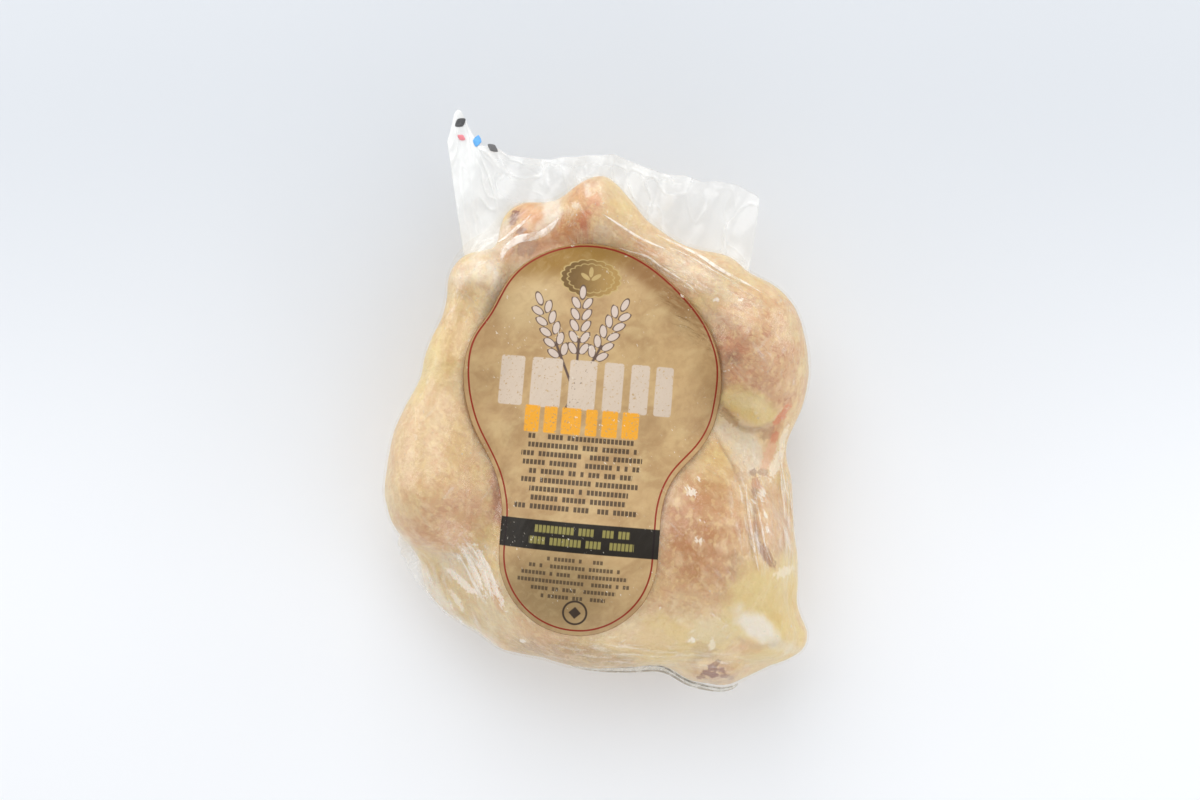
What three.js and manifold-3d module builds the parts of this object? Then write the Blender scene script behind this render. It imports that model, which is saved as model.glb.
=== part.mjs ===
// A whole raw chicken, shrink-wrapped in a clear vacuum bag, with a keyhole-shaped label over its breast.
//
// The pack lies on the bird's back. +Z is up, through the breast. +Y points to the tail and the two hocks,
// where the bag's sealed header stands out. The origin is on the surface it lies on, at the middle of the
// pack's outline. Sizes are in millimetres.
//
// Two solids:
//   bagged_chicken  the bag drawn tight on the bird, with its header and a side flange
//   label           the printed sheet, a thin curved skin that lies just clear of the bag

import * as THREE from 'three';
import { mergeVertices } from 'three/addons/utils/BufferGeometryUtils.js';
import Module from 'manifold-3d';

const wasm = await Module();
wasm.setup();

// ---- Driving dimensions -----------------------------------------------------------------------------

const FILM_STANDOFF = 0.8; // film and the drip under it, over the skin
const FILM_BRIDGING = 1.55; // how much further than the skin's own hollows the tight film spans
const REST_ROUNDING = 5; // soft edge round the flat spot that the pack lies on

// Rounded masses: centre, half sizes along X, Y and Z, turn about Z in degrees, and the width of the
// soft seam where a mass runs into its neighbours.
const MASSES = {
  trunk: { at: [-2, -28, 38], half: [64, 78, 46], turn: 4, seam: 14 },
  shoulders: { at: [1, -81, 42], half: [61, 34, 40], turn: -2, seam: 14 },
  rightBreast: { at: [42, -70, 56], half: [44, 45, 38], turn: -14, seam: 14 },
  leftBreast: { at: [-5, -70, 57], half: [37, 44, 38], turn: 14, seam: 14 },
  belly: { at: [8, 24, 38], half: [58, 42, 34], turn: 0, seam: 14 },
  rightKnee: { at: [70, 21, 50], half: [21, 31, 30], turn: 8, seam: 8 },
  leftKnee: { at: [-70, -39, 52], half: [24, 28, 31], turn: 10, seam: 8 },
  rightHock: { at: [-1, 82, 58], half: [16, 12, 13], turn: -20, seam: 8 },
  rightHockTip: { at: [2, 91, 58], half: [7, 8, 9], turn: 0, seam: 8 },
  leftHock: { at: [-50, 58, 57], half: [10, 13, 12], turn: 12, seam: 5 },
  neckFat: { at: [75, -104, 44], half: [16, 13, 24], turn: -10, seam: 12 },
  neckSkin: { at: [51, -118, 42], half: [13, 9, 20], turn: 0, seam: 10 },
  tailWeb: { at: [-12, 48, 50], half: [42, 30, 16], turn: 12, seam: 14 },
  flankFold: { at: [73, -16, 46], half: [10, 24, 12], turn: 0, seam: 14 },
};

// Limbs: a bone with its meat from one joint to the next, with its radius at each end.
const LIMBS = {
  rightThigh: { from: [70, 15, 46], to: [24, 25, 26], radii: [20, 22], seam: 12 },
  rightCalf: { from: [67, 32, 58], to: [53, 49, 60], radii: [20.5, 15.5], seam: 8 },
  rightShank: { from: [46, 48, 60], to: [10, 77, 59], radii: [13, 9.5], seam: 8 },
  leftThigh: { from: [-64, -47, 46], to: [-23, 9, 24], radii: [21, 22], seam: 12 },
  leftCalf: { from: [-69, -16, 56], to: [-60, 16, 57], radii: [20, 14], seam: 8 },
  leftShank: { from: [-60, 18, 57], to: [-54, 49, 57], radii: [13, 11], seam: 8 },
  tail: { from: [-31, 76, 46], to: [-12, 45, 34], radii: [13, 18], seam: 10 },
  rightForearm: { from: [77, -40, 40], to: [79, -74, 42], radii: [9, 8], seam: 8 },
  rightWingTip: { from: [75, -74, 42], to: [46, -94, 22], radii: [10, 14], seam: 8 },
  leftForearm: { from: [-65, -77, 40], to: [-38, -98, 42], radii: [12, 12], seam: 10 },
  leftWingTip: { from: [-59, -83, 38], to: [-34, -72, 18], radii: [11, 12], seam: 10 },
};

// The skin is drawn in from round a flat oval inside the bird, so the long body gets even triangles.
const CORE = { centre: [0, -14, 46], halfX: 47, halfY: 66 };
const REACH = 92; // farther out from the core than any point of the bag
const STEP = 0.6;
const SKIN_DETAIL = 18;

// Sealed film that stands out from the bag: its buried root and free edge as points on smooth curves,
// its height off the ground, and the waves it is crumpled into.
const FIN_THICKNESS = 1.2;
const FINS = {
  header: {
    root: [[-58, 56], [-40, 64], [-12, 70], [14, 64], [40, 46], [66, 44]],
    edge: [[-67, 117], [-62, 131], [-50, 115], [-16, 110], [2, 112], [24, 105], [69, 95], [73, 87]],
    height: 52,
    rise: -2,
    waves: [{ depth: 3, length: 52, phase: 0.4 }, { depth: 1.4, length: 19, phase: 1.3 }],
    columns: 34,
    rows: 9,
  },
  sideFlange: {
    root: [[-78, -56], [-74, -72], [-62, -84]],
    edge: [[-88, -60], [-90, -65], [-85, -77], [-77, -87], [-69, -95]],
    height: 40,
    rise: -3,
    waves: [{ depth: 1.2, length: 17, phase: 0 }],
    columns: 10,
    rows: 4,
  },
};

// The label: an oval head on a stem with a round end, with soft hollows where the two meet.
const LABEL = {
  centre: [-1.5, 9.5], // of the head
  tilt: -4.7, // degrees
  halfWidth: 57,
  crown: 60.5, // from the head's centre to its top
  base: 56, // and to its lower end, inside the stem
  stemRadius: 34.2,
  stemLength: 77, // from the head's centre to the middle of the round end
  hollow: 14,
  gap: 0.35,
  thickness: 0.6,
  corners: 52, // of its outline
};
const LABEL_CUTTER_HEIGHT = 140;

// ---- The bag as a distance field --------------------------------------------------------------------

/** The smaller of two distances, with their crease rounded over the width of the seam. */
function softMin(a, b, seam) {
  const overlap = Math.max(seam - Math.abs(a - b), 0) / seam;
  return Math.min(a, b) - overlap * overlap * seam * 0.25;
}

function softMax(a, b, seam) {
  return -softMin(-a, -b, seam);
}

/** Distance from a point to an ellipsoid turned about Z. */
function massDistance([x, y, z], { at, half, turn }) {
  const angle = THREE.MathUtils.degToRad(turn);
  const dx = x - at[0];
  const dy = y - at[1];
  const along = [
    dx * Math.cos(angle) + dy * Math.sin(angle),
    dy * Math.cos(angle) - dx * Math.sin(angle),
    z - at[2],
  ];
  const scaled = Math.hypot(...along.map((v, i) => v / half[i]));
  const slope = Math.hypot(...along.map((v, i) => v / half[i] ** 2));
  return (scaled * (scaled - 1)) / Math.max(slope, 1e-9);
}

/** Distance from a point to a round limb whose radius eases from one end's to the other's. */
function limbDistance(point, { from, to, radii }) {
  const bone = to.map((v, i) => v - from[i]);
  const offset = point.map((v, i) => v - from[i]);
  const lengthSquared = bone.reduce((sum, v) => sum + v * v, 0);
  const dot = offset.reduce((sum, v, i) => sum + v * bone[i], 0);
  const share = THREE.MathUtils.clamp(dot / lengthSquared, 0, 1);
  const radius = radii[0] + (radii[1] - radii[0]) * THREE.MathUtils.smoothstep(share, 0, 1);
  return Math.hypot(...offset.map((v, i) => v - bone[i] * share)) - radius;
}

/** Distance from a point to the tight bag, which stands on z = 0. */
function bagDistance(point) {
  let distance = Infinity;
  for (const mass of Object.values(MASSES)) {
    distance = softMin(distance, massDistance(point, mass), mass.seam * FILM_BRIDGING);
  }
  for (const limb of Object.values(LIMBS)) {
    distance = softMin(distance, limbDistance(point, limb), limb.seam * FILM_BRIDGING);
  }
  return softMax(distance - FILM_STANDOFF, -point[2], REST_ROUNDING);
}

// ---- Meshes -----------------------------------------------------------------------------------------

/** Where a ray from the core, in a given direction, first meets the bag when followed inwards. */
function bagPoint([nx, ny, nz]) {
  const { centre, halfX, halfY } = CORE;
  const at = (t) => [centre[0] + (halfX + t) * nx, centre[1] + (halfY + t) * ny, centre[2] + t * nz];
  let outside = REACH;
  while (outside > STEP && bagDistance(at(outside - STEP)) > 0) outside -= STEP;
  let inside = outside - STEP;
  for (let i = 0; i < 24; i += 1) {
    const middle = (outside + inside) / 2;
    if (bagDistance(at(middle)) > 0) outside = middle;
    else inside = middle;
  }
  const [x, y, z] = at(outside);
  return [x, y, z < 0.05 ? 0 : z];
}

/** The direction in which the bag faces at a point, from the slope of its distance field. */
function bagNormal(point) {
  const reach = 0.5;
  const slope = [0, 1, 2].map((axis) => {
    const ahead = [...point];
    const behind = [...point];
    ahead[axis] += reach;
    behind[axis] -= reach;
    return bagDistance(ahead) - bagDistance(behind);
  });
  return new THREE.Vector3(...slope).normalize();
}

/** An icosphere whose vertices are drawn in onto the bag. */
function bagGeometry() {
  const sphere = new THREE.IcosahedronGeometry(1, SKIN_DETAIL);
  sphere.deleteAttribute('normal');
  sphere.deleteAttribute('uv');
  const geometry = mergeVertices(sphere, 1e-4);
  const position = geometry.getAttribute('position');
  for (let i = 0; i < position.count; i += 1) {
    position.setXYZ(i, ...bagPoint([position.getX(i), position.getY(i), position.getZ(i)]));
  }
  return geometry;
}

/** The same mesh moved out along the bag's normals. */
function liftedGeometry(geometry, lift) {
  const lifted = geometry.clone();
  const position = lifted.getAttribute('position');
  for (let i = 0; i < position.count; i += 1) {
    const point = [position.getX(i), position.getY(i), position.getZ(i)];
    const moved = bagNormal(point).multiplyScalar(lift).add(new THREE.Vector3(...point));
    position.setXYZ(i, moved.x, moved.y, moved.z);
  }
  return lifted;
}

function smoothCurve(points) {
  return new THREE.CatmullRomCurve3(points.map(([x, y]) => new THREE.Vector3(x, y, 0)));
}

/** A fin of film: a sheet from its root to its free edge, waved more and more towards the edge. */
function finGeometry({ root, edge, height, rise, waves, columns, rows }) {
  const rootCurve = smoothCurve(root);
  const edgeCurve = smoothCurve(edge);
  const middle = [];
  for (let row = 0; row < rows; row += 1) {
    const out = row / (rows - 1);
    for (let column = 0; column < columns; column += 1) {
      const across = column / (columns - 1);
      const point = rootCurve.getPointAt(across).lerp(edgeCurve.getPointAt(across), out);
      const wave = waves.reduce(
        (sum, { depth, length, phase }) =>
          sum + depth * Math.sin((2 * Math.PI * (point.x - point.y * 0.4)) / length + phase),
        0,
      );
      point.z = height + out * (rise + wave);
      middle.push(point);
    }
  }
  const half = FIN_THICKNESS / 2;
  const positions = [half, -half].flatMap((lift) => middle.flatMap(({ x, y, z }) => [x, y, z + lift]));
  const under = middle.length;
  const indices = [];
  const quad = (a, b, c, d) => indices.push(a, b, c, a, c, d);
  for (let row = 0; row < rows - 1; row += 1) {
    for (let column = 0; column < columns - 1; column += 1) {
      const a = row * columns + column;
      const [b, c, d] = [a + 1, a + columns + 1, a + columns];
      quad(a, b, c, d);
      indices.push(a + under, c + under, b + under, a + under, d + under, c + under);
    }
  }
  const rim = [];
  for (let column = 0; column < columns - 1; column += 1) rim.push(column);
  for (let row = 0; row < rows - 1; row += 1) rim.push(row * columns + columns - 1);
  for (let column = columns - 1; column > 0; column -= 1) rim.push((rows - 1) * columns + column);
  for (let row = rows - 1; row > 0; row -= 1) rim.push(row * columns);
  rim.forEach((a, i) => {
    const b = rim[(i + 1) % rim.length];
    quad(a + under, b + under, b, a);
  });
  const geometry = new THREE.BufferGeometry();
  geometry.setAttribute('position', new THREE.Float32BufferAttribute(positions, 3));
  geometry.setIndex(indices);
  return geometry;
}

/** Distance from a point of the label's own plane to its outline: an oval joined to a round-ended stem. */
function labelDistance(x, y) {
  const { halfWidth, crown, base, stemRadius, stemLength, hollow } = LABEL;
  const halfHeight = y > 0 ? crown : base;
  const head = (Math.hypot(x / halfWidth, y / halfHeight) - 1) * Math.min(halfWidth, halfHeight);
  const stem = Math.hypot(x, y - THREE.MathUtils.clamp(y, -stemLength, 0)) - stemRadius;
  return softMin(head, stem, hollow);
}

/** The label's outline, found along even rays from the middle of its waist. */
function labelShape() {
  const waist = -LABEL.stemLength / 2;
  const corners = Array.from({ length: LABEL.corners }, (_, i) => {
    const angle = (2 * Math.PI * i) / LABEL.corners;
    let [inside, outside] = [0, LABEL.stemLength + LABEL.crown];
    for (let halving = 0; halving < 30; halving += 1) {
      const middle = (inside + outside) / 2;
      if (labelDistance(middle * Math.cos(angle), waist + middle * Math.sin(angle)) < 0) inside = middle;
      else outside = middle;
    }
    return new THREE.Vector2(inside * Math.cos(angle), waist + inside * Math.sin(angle));
  });
  return new THREE.Shape(corners);
}

/** A tall block with the label's outline, which cuts it out of the bag's own curve. */
function labelCutter() {
  const block = new THREE.ExtrudeGeometry(labelShape(), { depth: LABEL_CUTTER_HEIGHT, bevelEnabled: false });
  block.rotateZ(THREE.MathUtils.degToRad(LABEL.tilt));
  block.translate(LABEL.centre[0], LABEL.centre[1], CORE.centre[2]);
  return block;
}

// ---- Joining and cutting ----------------------------------------------------------------------------

function solidOf(geometry) {
  geometry.deleteAttribute('normal');
  geometry.deleteAttribute('uv');
  const merged = mergeVertices(geometry, 1e-4);
  return new wasm.Manifold(
    new wasm.Mesh({
      numProp: 3,
      vertProperties: new Float32Array(merged.getAttribute('position').array),
      triVerts: new Uint32Array(merged.getIndex().array),
    }),
  );
}

function geometryOf(solid) {
  const { vertProperties, triVerts } = solid.getMesh();
  const geometry = new THREE.BufferGeometry();
  geometry.setAttribute('position', new THREE.BufferAttribute(vertProperties, 3));
  geometry.setIndex(new THREE.BufferAttribute(triVerts, 1));
  return geometry;
}

function namedMesh(name, solid, material) {
  const mesh = new THREE.Mesh(geometryOf(solid), new THREE.MeshStandardMaterial(material));
  mesh.name = name;
  return mesh;
}

const bag = bagGeometry();

const baggedChicken = Object.values(FINS).reduce(
  (solid, fin) => solid.add(solidOf(finGeometry(fin))),
  solidOf(bag.clone()),
);

const label = solidOf(liftedGeometry(bag, LABEL.gap + LABEL.thickness))
  .intersect(solidOf(labelCutter()))
  .subtract(solidOf(liftedGeometry(bag, LABEL.gap)));

const part = new THREE.Group();
part.add(
  namedMesh('bagged_chicken', baggedChicken, { color: 0xe3c7a4, roughness: 0.35, metalness: 0 }),
  namedMesh('label', label, { color: 0xbd9a66, roughness: 0.45, metalness: 0 }),
);

export default part;
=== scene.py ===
"""A whole raw chicken, shrink-wrapped in a clear vacuum bag with a printed label, dressed round its solids.

The bird lies on its back. +Z is up through the breast, and +Y points to the tail, the hocks and the bag's
header. Forms are worked out in millimetres and put into meshes in metres. The skin, the bag and the label
are all drawn from one set of soft rounded forms: the skin follows them closely, and the film spans their
hollows.
"""

from __future__ import annotations

import itertools
import logging
import math
from collections.abc import Callable, Sequence
from dataclasses import dataclass, field
from enum import Enum
from typing import TypeVar

import bpy
import numpy as np
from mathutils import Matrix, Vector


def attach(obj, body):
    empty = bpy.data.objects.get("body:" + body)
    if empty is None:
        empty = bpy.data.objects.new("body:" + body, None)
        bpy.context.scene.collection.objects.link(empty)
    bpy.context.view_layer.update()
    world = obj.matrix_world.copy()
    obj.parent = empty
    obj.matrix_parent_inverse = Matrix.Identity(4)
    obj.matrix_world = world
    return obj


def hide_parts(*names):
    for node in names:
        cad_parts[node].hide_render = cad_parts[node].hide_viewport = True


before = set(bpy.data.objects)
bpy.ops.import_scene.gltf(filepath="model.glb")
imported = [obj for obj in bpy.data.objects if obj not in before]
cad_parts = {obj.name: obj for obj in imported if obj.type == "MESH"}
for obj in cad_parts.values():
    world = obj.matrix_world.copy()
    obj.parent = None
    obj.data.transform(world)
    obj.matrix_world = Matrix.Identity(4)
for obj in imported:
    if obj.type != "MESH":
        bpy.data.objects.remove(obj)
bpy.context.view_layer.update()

Array = np.ndarray
Vec2 = tuple[float, float]
Vec3 = tuple[float, float, float]
Colour = tuple[float, float, float]
Distance = Callable[[Array], Array]
Socket = bpy.types.NodeSocket
Number = TypeVar("Number", np.ndarray, "Value")

MM = 0.001
BODY = "root"
BAG_NODE = "bagged_chicken"
LABEL_NODE = "label"

CURVE_STEPS = 40  # sampled places on each stretch of a smooth curve
RAY_STEPS = 80  # the most steps that a ray takes
RAY_STEP_SHARE = 0.8  # how much of the distance left each step goes
RAY_TOLERANCE = 0.01  # how near a surface a ray stops, in millimetres
ABOVE = 130.0  # a height clear over the pack, from which rays are followed down to it

log = logging.getLogger("chicken")


class Slot(Enum):
    """The record's material slots."""

    SKIN = "bagged_skin"
    FILM = "clear_film"
    LABEL = "label_film"


# ---- Numbers in bulk --------------------------------------------------------------------------------


def ease(value: Array, low: float, high: float) -> Array:
    """A smooth step: 0 at low, 1 at high, level at both ends.

    Args:
        value: where to read the step.
        low: where it starts. It may be above high, for a step down.
        high: where it ends.

    Returns:
        3 t squared less 2 t cubed, with t the share of the way from low to high.
    """
    share = np.clip((value - low) / (high - low), 0.0, 1.0)
    return share * share * (3.0 - 2.0 * share)


def soft_min(a: Array, b: Array, seam: float) -> Array:
    """The smaller of two distances, less a parabola that rounds their crease over the seam's width."""
    overlap = np.maximum(seam - np.abs(a - b), 0.0) / seam
    return np.minimum(a, b) - overlap * overlap * seam * 0.25


def soft_max(a: Array, b: Array, seam: float) -> Array:
    """The larger of two distances, with a rounded crease."""
    return -soft_min(-a, -b, seam)


def turned(x: Number, y: Number, degrees: float) -> tuple[Number, Number]:
    """The coordinates of plane points along axes that are turned by an angle."""
    angle = math.radians(degrees)
    return x * math.cos(angle) + y * math.sin(angle), y * math.cos(angle) - x * math.sin(angle)


@dataclass(frozen=True)
class Oval:
    """An oval on the upper side: its middle as seen from above, its half sizes and its turn in degrees."""

    centre: Vec2
    half: Vec2
    turn: float

    def radius(self, plan: Array) -> Array:
        """Scaled distance of places from its middle: 1 on its rim."""
        x, y = turned(plan[..., 0] - self.centre[0], plan[..., 1] - self.centre[1], self.turn)
        return np.hypot(x / self.half[0], y / self.half[1])


def unit(vectors: Array) -> Array:
    """Vectors brought to length 1."""
    return vectors / np.maximum(np.linalg.norm(vectors, axis=-1, keepdims=True), 1e-9)


def at_level(plan: Array, level: Array | float) -> Array:
    """Places in plan as points at a level."""
    return np.concatenate([plan, np.broadcast_to(level, plan.shape[:-1])[..., None]], axis=-1)


def tapered(count: int, margin: float = 0.02) -> Array:
    """Sizes along a line: 1 in its middle, rounded off nearly to 0 at its ends."""
    return np.sqrt(np.sin(np.linspace(margin, math.pi - margin, count)))


@dataclass(frozen=True)
class Noise:
    """Value noise: random heights on a cubic lattice, blended between its corners by eased weights."""

    seed: int
    cell: float
    size: int = 32

    def at(self, points: Array) -> Array:
        """Heights from -1 to 1.

        Args:
            points: places in millimetres, with coordinates in the last axis.

        Returns:
            One height for each point.
        """
        table = np.random.default_rng(self.seed).uniform(-1.0, 1.0, (self.size,) * 3)
        scaled = points / self.cell
        low = np.floor(scaled).astype(int)
        share = ease(scaled - low, 0.0, 1.0)
        total = np.zeros(points.shape[:-1])
        for corner in itertools.product((0, 1), repeat=3):
            index = (low + corner) % self.size
            weight = np.prod(np.where(corner, share, 1.0 - share), axis=-1)
            total += weight * table[index[..., 0], index[..., 1], index[..., 2]]
        return total


def layered(points: Array, *layers: tuple[int, float, float]) -> Array:
    """A sum of noises, each given by its seed, its cell and its share."""
    return sum(share * Noise(seed, cell).at(points) for seed, cell, share in layers)


def evenly(points: Array, count: int, closed: bool = False) -> Array:
    """Evenly spaced points on the straight lines between given ones.

    Args:
        points: the given points, in order.
        count: how many points to return.
        closed: whether they come back to the first, which is then not repeated.

    Returns:
        An array of count points.
    """
    length = np.concatenate([[0.0], np.cumsum(np.linalg.norm(np.diff(points, axis=0), axis=1))])
    even = np.linspace(0.0, length[-1], count, endpoint=not closed)
    return np.stack([np.interp(even, length, column) for column in points.T], axis=1)


def smooth_curve(points: Sequence[Sequence[float]], count: int) -> Array:
    """Evenly spaced points on a Catmull-Rom curve through a few given ones.

    Args:
        points: the given points, two or more, of any dimension.
        count: how many points to return.

    Returns:
        An array of count points. Between two given points the curve is the cubic that passes both, each
        with the direction from its neighbour before to its neighbour after.
    """
    given = np.asarray(points, float)
    ends = np.concatenate([[2 * given[0] - given[1]], given, [2 * given[-1] - given[-2]]])
    t = np.linspace(0.0, 1.0, CURVE_STEPS, endpoint=False)[:, None]
    stretches = [
        0.5 * (2 * b + (c - a) * t + (2 * a - 5 * b + 4 * c - d) * t**2 + (3 * b - a - 3 * c + d) * t**3)
        for a, b, c, d in zip(ends, ends[1:], ends[2:], ends[3:])
    ]
    return evenly(np.concatenate([*stretches, given[-1:]]), count)


def solve_inwards(distance: Distance, start: Array, direction: Array, reach: float) -> Array:
    """Where rays first meet a surface when each is followed back from its far end.

    Args:
        distance: the distance from points to the surface.
        start: the rays' near ends.
        direction: their unit directions.
        reach: how far out to begin.

    Returns:
        The points met. Each step goes in by most of the distance that is left, so none is overshot.
    """
    shape = start.shape
    near = start.reshape(-1, 3)
    ahead = np.broadcast_to(direction, shape).reshape(-1, 3)
    along = np.full(len(near), reach)
    seeking = np.arange(len(near))
    for _ in range(RAY_STEPS):
        left = distance(near[seeking] + along[seeking, None] * ahead[seeking])
        along[seeking] = np.maximum(along[seeking] - RAY_STEP_SHARE * left, 0.0)
        seeking = seeking[(np.abs(left) > RAY_TOLERANCE) & (along[seeking] > 0.0)]
        if not seeking.size:
            break
    return (near + along[:, None] * ahead).reshape(shape)


def shown(red: float, green: float, blue: float) -> Colour:
    """A linear colour from the numbers, 0 to 255, that it has on a screen.

    Args:
        red: its red.
        green: its green.
        blue: its blue.

    Returns:
        Its linear parts, by the sRGB curve.
    """
    values = np.array([red, green, blue]) / 255.0
    linear = np.where(values > 0.04045, ((values + 0.055) / 1.055) ** 2.4, values / 12.92)
    return (float(linear[0]), float(linear[1]), float(linear[2]))


# ---- The bird's forms -------------------------------------------------------------------------------


@dataclass(frozen=True)
class Mass:
    """A rounded mass of flesh: an ellipsoid turned about Z, with a soft seam to its neighbours."""

    at: Vec3
    half: Vec3
    turn: float
    seam: float

    def distance(self, points: Array) -> Array:
        """Distance from points to the ellipsoid.

        Args:
            points: places in millimetres.

        Returns:
            Scaled radius times its excess over one, by the slope there: close to the true distance.
        """
        x, y = turned(points[..., 0] - self.at[0], points[..., 1] - self.at[1], self.turn)
        local = np.stack([x, y, points[..., 2] - self.at[2]], axis=-1) / self.half
        scaled = np.linalg.norm(local, axis=-1)
        slope = np.linalg.norm(local / self.half, axis=-1)
        return scaled * (scaled - 1.0) / np.maximum(slope, 1e-9)


@dataclass(frozen=True)
class Limb:
    """A bone with its meat: a round bar whose radius eases from one end's to the other's."""

    start: Vec3
    end: Vec3
    radii: Vec2
    seam: float

    def distance(self, points: Array) -> Array:
        """Distance from points to the bar.

        Args:
            points: places in millimetres.

        Returns:
            The distance to the nearest point of the bone, less the radius there.
        """
        bone = np.subtract(self.end, self.start)
        offset = points - np.asarray(self.start)
        share = np.clip(offset @ bone / (bone @ bone), 0.0, 1.0)
        radius = self.radii[0] + (self.radii[1] - self.radii[0]) * ease(share, 0.0, 1.0)
        return np.linalg.norm(offset - share[..., None] * bone, axis=-1) - radius


BODY_FORMS: dict[str, Mass | Limb] = {
    "trunk": Mass((-2, -28, 38), (64, 78, 46), 4, 14),
    "shoulders": Mass((1, -81, 42), (61, 34, 40), -2, 14),
    "right_breast": Mass((42, -70, 56), (44, 45, 38), -14, 14),
    "left_breast": Mass((-5, -70, 57), (37, 44, 38), 14, 14),
    "belly": Mass((8, 24, 38), (58, 42, 34), 0, 14),
    "right_knee": Mass((70, 21, 50), (21, 31, 30), 8, 8),
    "left_knee": Mass((-70, -39, 52), (24, 28, 31), 10, 8),
    "right_hock": Mass((-1, 82, 58), (16, 12, 13), -20, 8),
    "right_hock_tip": Mass((2, 91, 58), (7, 8, 9), 0, 8),
    "left_hock": Mass((-50, 58, 57), (10, 13, 12), 12, 5),
    "neck_fat": Mass((75, -104, 44), (16, 13, 24), -10, 12),
    "neck_skin": Mass((51, -118, 42), (13, 9, 20), 0, 10),
    "tail_web": Mass((-12, 48, 50), (42, 30, 16), 12, 14),
    "flank_fold": Mass((73, -16, 46), (10, 24, 12), 0, 14),
    "right_thigh": Limb((70, 15, 46), (24, 25, 26), (20, 22), 12),
    "right_calf": Limb((67, 32, 58), (53, 49, 60), (20.5, 15.5), 8),
    "right_shank": Limb((46, 48, 60), (10, 77, 59), (13, 9.5), 8),
    "left_thigh": Limb((-64, -47, 46), (-23, 9, 24), (21, 22), 12),
    "left_calf": Limb((-69, -16, 56), (-60, 16, 57), (20, 14), 8),
    "left_shank": Limb((-60, 18, 57), (-54, 49, 57), (13, 11), 8),
    "tail": Limb((-31, 76, 46), (-12, 45, 34), (13, 18), 10),
    "right_forearm": Limb((77, -40, 40), (79, -74, 42), (9, 8), 8),
    "right_wing_tip": Limb((75, -74, 42), (46, -94, 22), (10, 14), 8),
    "left_forearm": Limb((-65, -77, 40), (-38, -98, 42), (12, 12), 10),
    "left_wing_tip": Limb((-59, -83, 38), (-34, -72, 18), (11, 12), 10),
}

# The flap of neck fat at the bird's left shoulder, which the film pulls to a corner.
CORNER_FLAP: dict[str, Mass | Limb] = {
    "corner_side": Limb((81, -86, 45), (86.5, -105, 43), (6, 5), 6),
    "corner_end": Limb((87, -107, 43), (59, -120, 40), (5, 6.5), 6),
}

BAG_FORMS: dict[str, Mass | Limb] = {**BODY_FORMS, **CORNER_FLAP}

# The flesh is slimmer in places than the film drawn over it, and has skin drawn from the vent to the hock.
FLESH_FORMS: dict[str, Mass | Limb] = {
    **BODY_FORMS,
    "tail_web": Mass((-8, 42, 47), (36, 26, 13), 12, 10),
    "flank_fold": Mass((70, -14, 44), (18, 24, 16), -8, 12),
    "left_hock": Mass((-51, 55, 56), (11, 11, 12), 12, 5),
    "right_forearm": Limb((78, -34, 40), (79, -76, 42), (11, 9.5), 8),
    "vent_skin": Limb((-18, 74, 46), (4, 70, 48), (9, 10), 10),
    **CORNER_FLAP,
}


@dataclass(frozen=True)
class Bird:
    """The whole bird as two distance fields: its skin, and the tight bag round it."""

    film_standoff: float = 0.8
    film_bridging: float = 1.55
    skin_standoff: float = 0.35
    skin_bridging: float = 1.5
    rest_rounding: float = 5.0

    def joined(self, points: Array, forms: dict[str, Mass | Limb], spread: float) -> Array:
        """The soft union of forms.

        Args:
            points: places in millimetres.
            forms: the forms, in the order that they are joined.
            spread: a factor that widens every seam.

        Returns:
            The distance to their joined surface.
        """
        total = None
        for form in forms.values():
            own = form.distance(points)
            total = own if total is None else soft_min(total, own, form.seam * spread)
        return total

    def bag(self, points: Array) -> Array:
        """Distance to the film: the forms with wide seams, a little fuller, cut level at the ground."""
        film = self.joined(points, BAG_FORMS, self.film_bridging) - self.film_standoff
        return soft_max(film, -points[..., 2], self.rest_rounding)

    def flesh(self, points: Array) -> Array:
        """Distance to the skin: the slimmer forms with their own seams, just clear of the ground."""
        skin = self.joined(points, FLESH_FORMS, self.skin_bridging) - self.skin_standoff
        return soft_max(skin, self.film_standoff - points[..., 2], self.rest_rounding)


@dataclass(frozen=True)
class Core:
    """A flat oval inside the bird, from round which closed skins are drawn in along even rays."""

    centre: Vec3 = (0.0, -14.0, 46.0)
    half_x: float = 47.0
    half_y: float = 66.0
    reach: float = 92.0

    def wrap(self, distance: Distance, spokes: int, rings: int) -> Array:
        """A grid of points on a surface round the core.

        Args:
            distance: the distance to the surface.
            spokes: how many meridians the grid has.
            rings: how many parallels, from just over the south pole to just under the north pole.

        Returns:
            The points, with the poles as first and last rows. The ray in direction (x, y, z) starts from
            (x, y) scaled to the oval, so a long flat body gets an even grid.
        """
        up = np.linspace(-math.pi / 2, math.pi / 2, rings + 2)[:, None]
        round_z = np.linspace(0.0, 2 * math.pi, spokes, endpoint=False)[None, :]
        parts = [np.cos(up) * np.cos(round_z), np.cos(up) * np.sin(round_z), np.sin(up) + 0 * round_z]
        direction = np.stack(parts, axis=-1)
        start = np.asarray(self.centre) + direction * (self.half_x, self.half_y, 0.0)
        return solve_inwards(distance, start, direction, self.reach)


def globe_normals(grid: Array) -> Array:
    """Unit normals of a closed grid.

    Args:
        grid: points with the poles as first and last rows.

    Returns:
        The cross product of the steps along rings and up meridians, brought to length 1.
    """
    east = np.roll(grid, -1, axis=1) - np.roll(grid, 1, axis=1)
    north = np.gradient(grid, axis=0)
    normal = np.cross(east, north)
    normal[0] = normal[1].mean(axis=0)
    normal[-1] = normal[-2].mean(axis=0)
    return unit(normal)


def field_normals(distance: Distance, points: Array, step: float = 0.4) -> Array:
    """Unit normals of a field at points, from its differences along the three axes."""
    slopes = [distance(points + shift) - distance(points - shift) for shift in np.eye(3) * step]
    return unit(np.stack(slopes, axis=-1))


UP = np.array([0.0, 0.0, 1.0])
EYE = np.array([1.6, 0.2, 1195.0])  # the eye point that paint and folds are laid out from
SCALE_LEVEL = 45.0  # the level that their places in plan are true at


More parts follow.
